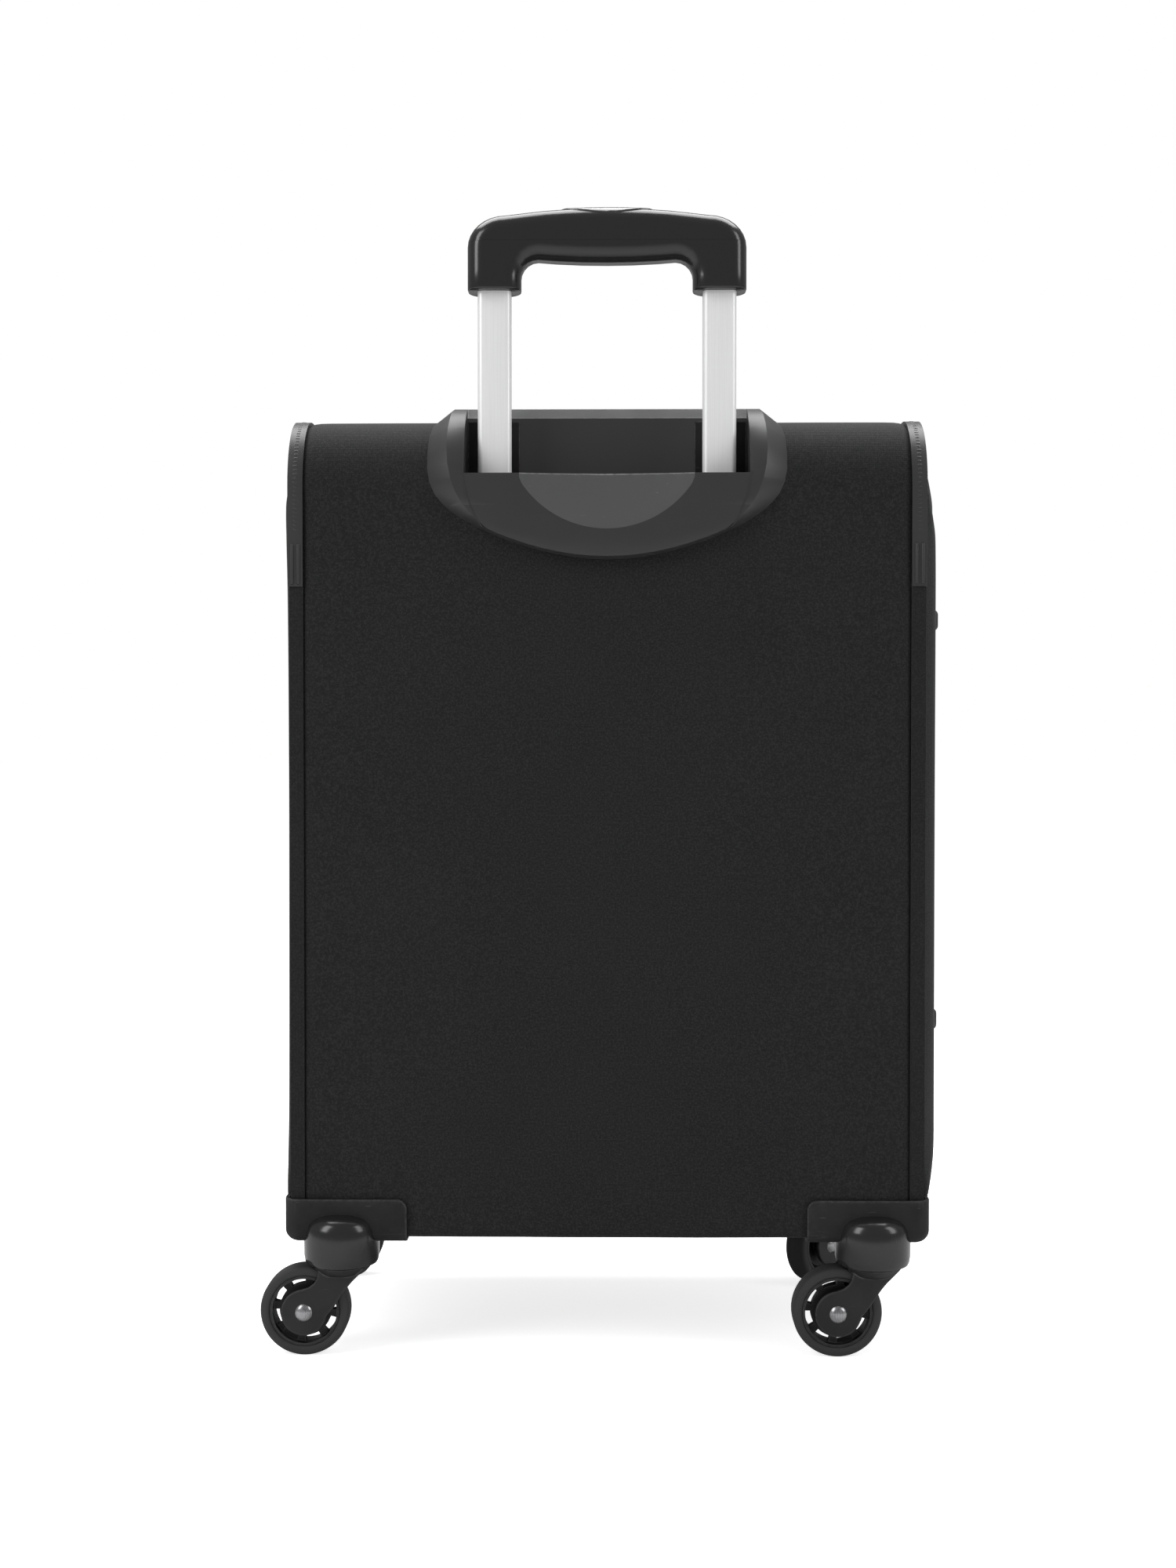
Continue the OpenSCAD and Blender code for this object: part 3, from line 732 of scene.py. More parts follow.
def ease(piece: bpy.types.Object, width: float, degrees: float) -> None:
    """Adds a small bevel, in millimetres, along edges sharper than an angle."""
    soft = piece.modifiers.new("ease", "BEVEL")
    soft.width = width * MM
    soft.segments = 2
    soft.limit_method = "ANGLE"
    soft.angle_limit = math.radians(degrees)


def fit(piece: bpy.types.Object, body: str, nodes: Sequence[str] = ()) -> bpy.types.Object:
    """Hands a finished piece to the frame.

    Args:
        piece: the piece.
        body: the body it moves with.
        nodes: the plain solids that it stands for.

    Returns:
        The piece.
    """
    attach(piece, body)
    if nodes:
        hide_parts(*nodes)
    log.info("%-28s rides on %s", piece.name, body)
    return piece


@dataclass
class Stuffing:
    """Fills a plain pad with cloth simulation."""

    voxel: float = 0.005
    pressure: float = 4.0
    cap: float = 0.009
    frames: int = 20

    def fill(self, pad: bpy.types.Object, held: Callable[[Vector], bool]) -> None:
        """Swells a pad and applies the result.

        Args:
            pad: a closed mesh, a little smaller than the finished pad.
            held: picks the points that stay where they are, such as a sewn edge.
        """
        grid = pad.modifiers.new("grid", "REMESH")
        grid.mode = "VOXEL"
        grid.voxel_size = self.voxel
        settle(pad)
        before = [v.co.copy() for v in pad.data.vertices]
        sewn = pad.vertex_groups.new(name="sewn")
        sewn.add([v.index for v in pad.data.vertices if held(v.co)], 1.0, "REPLACE")
        cloth = pad.modifiers.new("cloth", "CLOTH")
        cloth.settings.quality = 4
        cloth.settings.mass = 0.3
        cloth.settings.tension_stiffness = 25
        cloth.settings.bending_stiffness = 3
        cloth.settings.use_pressure = True
        cloth.settings.uniform_pressure_force = self.pressure
        cloth.settings.vertex_group_mass = "sewn"
        cloth.settings.effector_weights.gravity = 0.0
        cloth.point_cache.frame_start = 1
        cloth.point_cache.frame_end = self.frames
        scene = bpy.context.scene
        for frame in range(1, self.frames + 1):
            scene.frame_set(frame)
        settle(pad)
        scene.frame_set(1)
        for vert, start in zip(pad.data.vertices, before):
            move = vert.co - start
            if move.length > self.cap:
                vert.co = start + move.normalized() * self.cap
        pad.vertex_groups.clear()


# ---------------------------------------------------------------- the case's own lines


@dataclass(frozen=True)
class CaseLines:
    """The outline that the shell's parts share."""

    low: float = 69.0
    high: float = 547.0
    depth: float = 195.0
    panel_half: float = 175.5
    side: float = 183.7
    radii: tuple[float, float, float, float] = (6.0, 16.0, 22.0, 42.0)
    zip_half: float = 162.0
    zip_low: float = 107.0
    zip_high: float = 514.0
    zip_radius: float = 38.0

    def outline(self, form: Form, inset: float, x: float, steps: int = 10) -> bmesh.types.BMFace:
        """Adds the case's side outline, inset all round, at an x."""
        return form.panel((inset, self.low + inset), (self.depth - inset, self.high - inset),
                          [max(r - inset, 1.0) for r in self.radii], "yz", x, steps)

    def zip_panel(self, form: Form, grow: float, y: float, steps: int = 10) -> bmesh.types.BMFace:
        """Adds the lid's outline, grown all round, at a y."""
        return form.panel((-self.zip_half - grow, self.zip_low - grow), (self.zip_half + grow, self.zip_high + grow),
                          [self.zip_radius + grow] * 4, "xz", y, steps)

    def over_back(self, run: float, rise: float) -> tuple[float, float, float]:
        """Follows the back panel up and over the top edge.

        Args:
            run: distance along the panel's face, 0 where the top edge starts to curve.
            rise: distance out from the face.

        Returns:
            y, z and the angle turned so far.
        """
        radius = self.radii[3]
        start = self.high - radius
        quarter = radius * math.pi / 2
        if run <= 0:
            return -rise, start + run, 0.0
        if run >= quarter:
            return radius + run - quarter, self.high + rise, math.pi / 2
        turn = run / radius
        return (radius - (radius + rise) * math.cos(turn), start + (radius + rise) * math.sin(turn), turn)


LINES = CaseLines()


# ---------------------------------------------------------------- shell


@dataclass
class Shell:
    """The padded fabric body: wrap, front rim, sides and their bound piping."""

    body: str = "case"
    seam_sink: float = 2.2
    bezel_half: float = 86.5
    bezel_start: float = -10.5
    side_start: float = 179.0
    side_face: float = 186.0
    full: Stuffing = field(default_factory=lambda: Stuffing(pressure=7.0, cap=0.008))
    slack: Stuffing = field(default_factory=lambda: Stuffing(pressure=3.0, cap=0.0025))

    def build(self) -> None:
        """Makes every piece of the shell."""
        self.wrap()
        self.front_rim()
        for side in Side:
            self.side_panel(side)
            self.piping(side)
            self.ribbed_guard(side)

    def wrap(self) -> None:
        """The one long panel that covers the bottom, the back and the top."""
        form = Form()
        outline = LINES.outline(form, 0.0, -LINES.panel_half, steps=14)
        front = [e for e in outline.edges if all(v.co.y > LINES.depth - 0.01 for v in e.verts)]
        rims = [e for e in outline.edges if e not in front]
        grown = bmesh.ops.extrude_edge_only(form.bm, edges=rims)["geom"]
        bmesh.ops.translate(form.bm, vec=(2 * LINES.panel_half, 0, 0),
                            verts=[g for g in grown if isinstance(g, bmesh.types.BMVert)])
        bmesh.ops.delete(form.bm, geom=[outline], context="FACES")
        near = [LINES.panel_half - d for d in (1.2, 3.0, 6.0, 12.0)]
        form.slice(0, [x for n in near for x in (-n, n)])
        form.slice(0, [*range(-150, 151, 25), -self.bezel_half, self.bezel_half])
        start_z = LINES.over_back(self.bezel_start, 0)[1]
        form.slice(2, [*range(84, 486, 24), start_z])
        form.slice(1, [30.0, *range(50, 170, 24)])
        form.drop_faces(lambda f: abs(f.calc_center_median().x) < self.bezel_half
                        and f.calc_center_median().z > start_z and f.calc_center_median().y < 30.0)
        form.shift(self._pillow)
        bmesh.ops.recalc_face_normals(form.bm, faces=form.bm.faces)
        self._face_away(form)
        bmesh.ops.solidify(form.bm, geom=list(form.bm.faces), thickness=2.6)
        piece = smooth(form.make("back_and_top_panel", CANVAS), 40)
        fit(piece, self.body, ["wrap_panel"])

    def _face_away(self, form: Form) -> None:
        """Turns an open skin so that its faces point away from the case's middle."""
        middle = Vector((0, LINES.depth / 2, (LINES.low + LINES.high) / 2))
        votes = sum(1 if f.normal.dot(f.calc_center_median() - middle) > 0 else -1 for f in form.bm.faces)
        if votes < 0:
            bmesh.ops.reverse_faces(form.bm, faces=form.bm.faces)

    def _pillow(self, point: Vector) -> Vector:
        """Draws the wrap in at its two seams and lets it swell a little between them."""
        to_seam = LINES.panel_half - abs(point.x)
        sink = self.seam_sink * math.exp(-to_seam / 2.4)
        swell = 0.8 * (1.0 - (point.x / LINES.panel_half) ** 2)
        ripple = 0.25 * noise.noise(point * 0.018)
        middle = Vector((point.x, LINES.depth / 2, (LINES.low + LINES.high) / 2))
        away = point - middle
        away.y = math.copysign(1.0, away.y) if abs(away.y) > LINES.depth / 2 - 45 else 0.0
        away.z = math.copysign(1.0, away.z) if abs(away.z) > (LINES.high - LINES.low) / 2 - 45 else 0.0
        if away.z and not away.y:
            away = Vector((0, 0, away.z))
        away.x = 0.0
        if away.length == 0:
            return point
        lift = -sink + (ripple + swell * 0.6 if point.z < 470 else ripple)
        on_back = point.y < 10 and point.z < 500
        direction = Vector((0, -1, 0)) if on_back and point.z > 90 else away.normalized()
        return point + direction * lift

    def front_rim(self) -> None:
        """The flat border round the lid, on the front."""
        form = Form()
        radius = LINES.radii
        outer = form.panel((-LINES.panel_half, LINES.low + radius[1]), (LINES.panel_half, LINES.high - radius[2]),
                           (0, 0, 0, 0), "xz", LINES.depth)
        bmesh.ops.subdivide_edges(form.bm, edges=list(outer.edges), cuts=9)
        outer_edges = list(form.bm.edges)
        bmesh.ops.delete(form.bm, geom=list(form.bm.faces), context="FACES_ONLY")
        inner = LINES.zip_panel(form, 0.0, LINES.depth)
        inner_edges = list(inner.edges)
        bmesh.ops.delete(form.bm, geom=[inner], context="FACES_ONLY")
        bmesh.ops.bridge_loops(form.bm, edges=outer_edges + inner_edges)
        bmesh.ops.recalc_face_normals(form.bm, faces=form.bm.faces)
        form.bm.normal_update()
        if sum(f.normal.y for f in form.bm.faces) < 0:
            bmesh.ops.reverse_faces(form.bm, faces=form.bm.faces)
        bmesh.ops.solidify(form.bm, geom=list(form.bm.faces), thickness=2.6)
        fit(smooth(form.make("front_rim_panel", CANVAS)), self.body)

    def side_panel(self, side: Side) -> None:
        """A stuffed side, swollen between its pipings."""
        form = Form()
        outline = LINES.outline(form, 8.6, self.side_start)
        form.extrude([outline], (self.side_face - self.side_start, 0, 0))
        form.mirrored(side)
        name = side.name.lower()
        pad = form.make(f"side_panel_{name}_fabric", CANVAS)
        rim = self.side_start * MM + 0.001
        (self.full if side is Side.RIGHT else self.slack).fill(pad, lambda p: abs(p.x) < rim)
        soften(pad)
        fit(pad, self.body, [f"side_panel_{name}"])

    def _band(self, grow: float, width: tuple[float, float], round_over: float) -> Form:
        """A closed band along the case's side outline.

        Args:
            grow: how far it stands outside the outline.
            width: its inner and outer x.
            round_over: radius of its outer edges.

        Returns:
            The band, on the right-hand side.
        """
        form = Form()
        outline = LINES.outline(form, -grow, width[0], steps=14)
        form.extrude([outline], (width[1] - width[0], 0, 0))
        caps = [f for f in form.bm.faces if len(f.verts) > 8]
        inner = [bmesh.ops.inset_region(form.bm, faces=[c], thickness=7.6, use_even_offset=True) and c for c in caps]
        loops = [e for c in inner for e in c.edges]
        bmesh.ops.delete(form.bm, geom=inner, context="FACES_ONLY")
        bmesh.ops.bridge_loops(form.bm, edges=loops)
        bmesh.ops.recalc_face_normals(form.bm, faces=form.bm.faces)
        form.bevel(round_over, 5, angle=60)
        return form

    def piping(self, side: Side) -> None:
        """The bound edge between the wrap and a side, in fabric."""
        form = self._band(-0.3, (LINES.panel_half + 0.2, LINES.side), 3.6)
        form.shift(lambda p: p + Vector((0.12 * noise.noise(p * 0.05), 0, 0)))
        piece = smooth(form.mirrored(side).make(f"bound_piping_{side.name.lower()}", BINDING), 50)
        fit(piece, self.body, ["edge_piping"])

    def ribbed_guard(self, side: Side) -> None:
        """The ribbed plastic sleeve over the piping at the top back edge."""
        name = side.name.lower()
        form = self._band(0.5, (LINES.panel_half + 0.1, LINES.side + 0.6), 3.9)
        form.cut((0, 0, 447), (0, 0, -1), drop=True, fill=True)
        form.cut((0, 62, 0), (0, 1, 0), drop=True, fill=True)
        sleeve = smooth(form.mirrored(side).make(f"piping_sleeve_{name}", SATIN), 50)
        fit(sleeve, self.body, ["piping_guards"])
        rib = Form()
        middle = (LINES.panel_half + LINES.side) / 2 + 0.3
        rib.turned([(4.0, -0.75), (4.55, -0.5), (4.75, 0.0), (4.55, 0.5), (4.0, 0.75)], (0, 0, 0), (0, 0, 1), 20)
        rib.drop_faces(lambda f: f.calc_center_median().y > 2.0)
        pitch, first, count = 2.45, -25.0, 48
        places = []
        for index in range(count):
            y, z, turn = LINES.over_back(first + index * pitch, -4.0)
            places.append(Matrix.Translation((middle, y, z)) @ Matrix.Rotation(-turn, 4, "X"))
        rib.copies(places)
        ribs = smooth(rib.mirrored(side).make(f"piping_ribs_{name}", SATIN, outward=False), 50)
        fit(ribs, self.body)
        bead = Form()
        for x in (middle - 1.7, middle + 1.9):
            bead.turned([(0.0, 0.0), (0.9, 0.5), (1.1, 2.0), (1.1, 22.0), (0.9, 23.5), (0.0, 24.0)],
                        (x, -0.3, 448.0), (0, 0, 1), 12)
        fit(smooth(bead.mirrored(side).make(f"sleeve_beads_{name}", SATIN)), self.body)


def soften(pad: bpy.types.Object) -> None:
    """Rounds off a remeshed pad with one level of subdivision."""
    change = pad.modifiers.new("soften", "SUBSURF")
    change.levels = 1
    change.render_levels = 1
    settle(pad)
    pad.data.shade_smooth()


# ---------------------------------------------------------------- trolley housing


@dataclass
class Bezel:
    """The moulded housing that the trolley handle drops into."""

    body: str = "case"
    rise: float = 8.0
    lip_run: float = 5.4
    rim: tuple[Flat, ...] = ((0, 462.4), (10, 462.7), (18.4, 463.6), (28, 465.1), (37.8, 467.2), (47, 469.8),
                             (55.8, 472.7), (63, 475.4), (69.7, 478.5), (77, 482.0), (84, 486.0), (90.5, 490.6),
                             (95.6, 495.4), (99.6, 500.6), (102.4, 507.0), (103.8, 515.0), (104.0, 524.0),
                             (103.6, 537.0), (102.0, 552.0), (99.6, 562.0), (96.5, 572.0), (94.0, 576.0))
    ridge: tuple[Flat, ...] = ((0, 463.8), (10, 464.1), (18.3, 464.9), (27.8, 466.4), (37.5, 468.5), (46.5, 471.1),
                               (55.2, 474.0), (62.3, 476.7), (68.6, 479.6), (73.5, 483.6), (77.8, 487.8),
                               (81.2, 491.6), (84.0, 495.6), (87.0, 501.0), (89.6, 507.6), (91.4, 515.0),
                               (92.3, 524.0),
                               (92.0, 537.0), (91.0, 552.0), (90.0, 562.0), (89.4, 569.0), (88.5, 573.0))
    pocket_half: float = 82.2
    floor: float = 497.0
    back: float = 28.0
    wall: float = 2.5
    tube_x: float = 65.3
    tube_y: float = 13.5
    hole: Flat = (11.2, 7.6)

    def build(self) -> None:
        """Makes the housing and cuts its pocket, scoop and tube holes."""
        piece = self.plate()
        carve(piece, self.tub(), "UNION")
        carve(piece, self.cavity())
        carve(piece, self.far_rim())
        for x in (-self.tube_x, self.tube_x):
            hole = Form()
            hole.block((x - self.hole[0], self.tube_y - self.hole[1], self.floor - 8),
                       (x + self.hole[0], self.tube_y + self.hole[1], self.floor + 2))
            carve(piece, hole.make("hole", SATIN))
        carve(piece, self.scoop())
        ease(piece, 0.3, 45)
        twin = piece.modifiers.new("twin", "MIRROR")
        twin.use_bisect_axis[0] = True
        twin.use_bisect_flip_axis[0] = True
        twin.merge_threshold = 0.01 * MM
        settle(piece)
        smooth(piece, 30)
        fit(piece, self.body, ["trolley_bezel"])
        self.collars()
        self.channel_shade_and_seams()

    def _both(self, right: Sequence[Flat]) -> list[Flat]:
        """Turns a right-hand run of (x, height) points, bottom to top, into a whole outline on the face."""
        start = LINES.high - LINES.radii[3]
        flat = [(x, z - start) for x, z in right]
        return [(-x, run) for x, run in reversed(flat[1:])] + flat

    def plate(self) -> bpy.types.Object:
        """The raised plate, bevelled at its sides and bent over the top edge."""
        form = Form()
        rim = [form.bm.verts.new((x, 0.0, run)) for x, run in self._both(self.rim)]
        ridge = [form.bm.verts.new((x, -self.rise, run)) for x, run in self._both(self.ridge)]
        for loop in (rim, ridge):
            form.bm.edges.new((loop[-1], loop[0]))
        for near, far in zip(zip(rim, rim[1:] + rim[:1]), zip(ridge, ridge[1:] + ridge[:1])):
            form.bm.faces.new((near[0], far[0], far[1], near[1]))
        form.bm.faces.new(rim)
        form.bm.faces.new(ridge)
        form.slice(2, [-30.0, -24.0, -18.0, -12.0, -6.0, *[r * 3.5 for r in range(0, 19)]])
        form.slice(0, [-60.0, -30.0, 0.0, 30.0, 60.0])
        bmesh.ops.recalc_face_normals(form.bm, faces=form.bm.faces)
        form.shift(self._bend)
        return form.make("trolley_housing", SATIN)

    def _bend(self, point: Vector) -> Vector:
        """Wraps a flat point over the case's top back edge."""
        y, z, _ = LINES.over_back(point.z, -point.y)
        return Vector((point.x, y, z))

    def tub(self) -> bpy.types.Object:
        """The pocket's walls, as a solid block that ends inside the bent plate."""
        form = Form()
        outer, deep, low = self.pocket_half + self.wall, self.back + self.wall, self.floor - self.wall
        arc = [LINES.over_back(run, 3.0)[:2] for run in (54.0, 46.0, 38.0, 30.0, 22.0, 14.0, 7.0, 0.0)]
        corners = [(arc[-1][0], low), (deep, low), (deep, arc[0][1]), *arc]
        outline = form.shape(corners, [0.0] * len(corners), "yz", -outer, 1)
        form.extrude([outline], (2 * outer, 0, 0))
        return form.make("tub", SATIN)

    def cavity(self) -> bpy.types.Object:
        """The space that the grip drops into, open to the top and above the lip to the back."""
        form = Form()
        lip_z = LINES.over_back(self.lip_run, self.rise)[1]
        outline = form.shape([(0.4, self.floor), (self.back, self.floor), (self.back, 610.0), (-40.0, 610.0),
                              (-40.0, lip_z), (-1.6, lip_z)], (3, 5, 0, 0, 0, 1.0), "yz", -self.pocket_half, 4)
        form.extrude([outline], (2 * self.pocket_half, 0, 0))
        return form.make("cavity", SATIN)

    def far_rim(self) -> bpy.types.Object:
        """The chamfer along the pocket's far top edge; its cut faces take the satin plastic's lighter, painted-light
        copy.
        """
        form = Form()
        top = LINES.high + self.rise
        outline = form.face([(-self.pocket_half, y, z) for y, z in (
            (self.back - 1.0, top - 8.5), (self.back + 5.7, top + 1.3), (self.back - 1.0, top + 1.3))])
        form.extrude([outline], (2 * self.pocket_half, 0, 0))
        return form.make("far_rim", LIT_SATIN)

    def scoop(self) -> bpy.types.Object:
        """A shallow dish under the lip, for the fingers; its cut faces take the satin plastic's lighter, painted-light
        copy.
        """
        half, low = 52.5, 479.4
        _, lip_z, _ = LINES.over_back(self.lip_run, self.rise)
        ring = (half ** 2 + (lip_z - low) ** 2) / (2 * (lip_z - low))
        stand = 236.0
        ball = math.hypot(ring, stand)
        widest = math.asin(min(1.0, (ring + 9.0) / ball))
        steps = 9
        angles = [widest * k / steps for k in range(steps + 1)]
        profile = [(ball * math.sin(angle), ball * math.cos(angle)) for angle in angles]
        profile.append((0.0, profile[-1][1] - 0.01))
        form = Form()
        form.turned(profile, (0, -self.rise - stand, low + ring), (0, 1, 0), 128)
        return form.make("scoop", LIT_SATIN)

    def collars(self) -> None:
        """The guide collar at the top of each middle tube."""
        form = Form()
        for x in (-self.tube_x, self.tube_x):
            outer = form.panel((x - 13.5, self.tube_y - 9.9), (x + 13.5, self.tube_y + 9.9), [4] * 4, "xy", 497.3, 4)
            form.extrude([outer], (0, 0, 4.7))
        form.bevel(0.8, 2)
        fit(smooth(form.make("guide_collars", SATIN)), "middle_stage", ["stage_collars"])

    def channel_shade_and_seams(self) -> None:
        """Near-black sheets of painted shade behind the tubes, standing for the shadowed depth of the pocket's side
        channels, and the seams that run down from the pocket's corners.
        """
        shade_sheets = Form()
        for low, high in ((-82.0, -51.5), (51.5, 82.0)):
            shade_sheets.block((low, self.back - 0.5, self.floor + 6), (high, self.back + 0.3, LINES.high - 1.0))
        fit(shade_sheets.make("pocket_channels", CHANNEL_SHADE), self.body)
        seams = Form()
        path = ((82.6, 511.0), (81.6, 504.0), (80.0, 498.0), (78.0, 492.0), (75.4, 486.0), (71.6, 480.6))
        for side in (-1, 1):
            for (x0, z0), (x1, z1) in zip(path, path[1:]):
                corners = [(x0 - 0.35, z0), (x0 + 0.35, z0), (x1 + 0.35, z1), (x1 - 0.35, z1)]
                corners = [(side * x, *LINES.over_back(z - 505.0, self.rise - 0.3)[:2]) for x, z in corners]
                quad = seams.face(corners if side > 0 else corners[::-1])
                seams.extrude([quad], (0, -0.55, 0))
        bmesh.ops.recalc_face_normals(seams.bm, faces=seams.bm.faces)
        fit(seams.make("housing_seams", SATIN), self.body)


# ---------------------------------------------------------------- trolley handle


@dataclass
class Grip:
    """The U-shaped pull handle on its two tubes."""

    half: float = 80.8
    low: float = 618.4
    leg: float = 31.0
    split: float = 646.0
    middle_y: float = 13.5
    depth: float = 25.0
    tube: Flat = (19.4, 12.2)
    tube_x: float = 65.3

    def build(self) -> None:
        """Makes the grip's two shells, its button and the tubes."""
        for name, node, drop_above in (("grip_top_cover", "grip_upper_shell", False),
                                       ("grip_underside", "grip_lower_shell", True)):
            form = self._solid()
            form.cut((0, 0, self.split + (-0.03 if drop_above else 0.03)), (0, 0, 1 if drop_above else -1),
                     drop=True, fill=True)
            fit(smooth(form.make(name, GLOSS), 60), "inner_stage", [node])
        self.button()
        self.tubes()

    def _outline(self, grow: float) -> list[Flat]:
        """The grip seen square on, from the left leg's foot round and back.

        Args:
            grow: how far the outline stands out all round.

        Returns:
            Its corners as (x, z).
        """
        out, inner = self.half + grow, self.half - self.leg - grow
        crown, under = 643.5, 626.0 - grow
        right = [(out, self.low), (out, 630.0), (out, crown)]
        for index in range(1, 9):
            turn = math.pi / 2 * index / 8
            right.append((out - 22.0 * (1 - math.cos(turn)), crown + (18.6 + grow) * math.sin(turn)))
        right += [(47.0, 663.5 + grow), (36.0, 664.7 + grow), (24.0, 665.5 + grow), (12.0, 666.0 + grow)]
        whole = [(-x, z) for x, z in right] + [(0.0, 666.1 + grow)] + [(x, z) for x, z in reversed(right)]
        foot = [(inner, self.low), (inner, under)]
        for index in range(1, 6):
            turn = math.pi / 2 * index / 5
            foot.append((inner - 10.0 * (1 - math.cos(turn)), under + 10.4 * math.sin(turn)))
        foot += [(30.0, 635.6 - grow), (15.0, 634.9 - grow)]
        return whole + foot + [(0.0, 634.7 - grow)] + [(-x, z) for x, z in reversed(foot)]

    def _solid(self, grow: float = 0.0) -> Form:
        """The whole grip as one rounded solid, standing out by grow all round."""
        form = Form()
        half = self.depth / 2 + grow
        outline = form.face([(x, self.middle_y - half, z) for x, z in self._outline(grow)])
        form.extrude([outline], (0, 2 * half, 0))
        bmesh.ops.recalc_face_normals(form.bm, faces=form.bm.faces)

        def on_face(edge: bmesh.types.BMEdge) -> bool:
            """Whether an edge outlines the front or back face, away from the legs' feet."""
            ends = edge.verts
            level = abs(ends[0].co.y - ends[1].co.y) < 0.1
            outer = all(abs(v.co.y - self.middle_y) > half - 0.1 for v in ends)
            return level and outer and not all(v.co.z < self.low + 0.1 for v in ends)

        form.bevel(10.2, 9, on_face, angle=60)
        form.bevel(1.1, 2, lambda e: all(v.co.z < self.low + 0.5 for v in e.verts), angle=50)
        return form

    def button(self) -> None:
        """The long release button, an eye-shaped part of the crown that stands just proud of it."""
        # The button's lighter finish is a painted highlight on the raised crown.
        piece = self._solid(0.55).make("release_button", BUTTON_HIGHLIGHT)
        prism = Form()
        half, deep = 27.5, 11.2
        count = 40
        prism.face([(half * math.cos(math.tau * k / count),
                     self.middle_y + deep * math.copysign(abs(math.sin(math.tau * k / count)) ** 1.25,
                                                          math.sin(math.tau * k / count)), 652.0)
                    for k in range(count)])
        prism.extrude(list(prism.bm.faces), (0, 0, 30.0))
        carve(piece, prism.make("eye", BUTTON_HIGHLIGHT), "INTERSECT")
        ease(piece, 0.4, 40)
        settle(piece)
        fit(smooth(piece, 35), "push_button", ["push_button"])

    def tubes(self) -> None:
        """The two innermost tubes, with rounded edges."""
        form = Form()
        w, d = self.tube[0] / 2, self.tube[1] / 2
        for x in (-self.tube_x, self.tube_x):
            low, high = (x - w, self.middle_y - d), (x + w, self.middle_y + d)
            outer = form.panel(low, high, [3.2] * 4, "xy", 222.0, 5)
            form.extrude([outer], (0, 0, 410.0))
        fit(smooth(form.make("inner_tube_pair", ANODISED), 50), "inner_stage", ["inner_tubes"])


# ---------------------------------------------------------------- casters


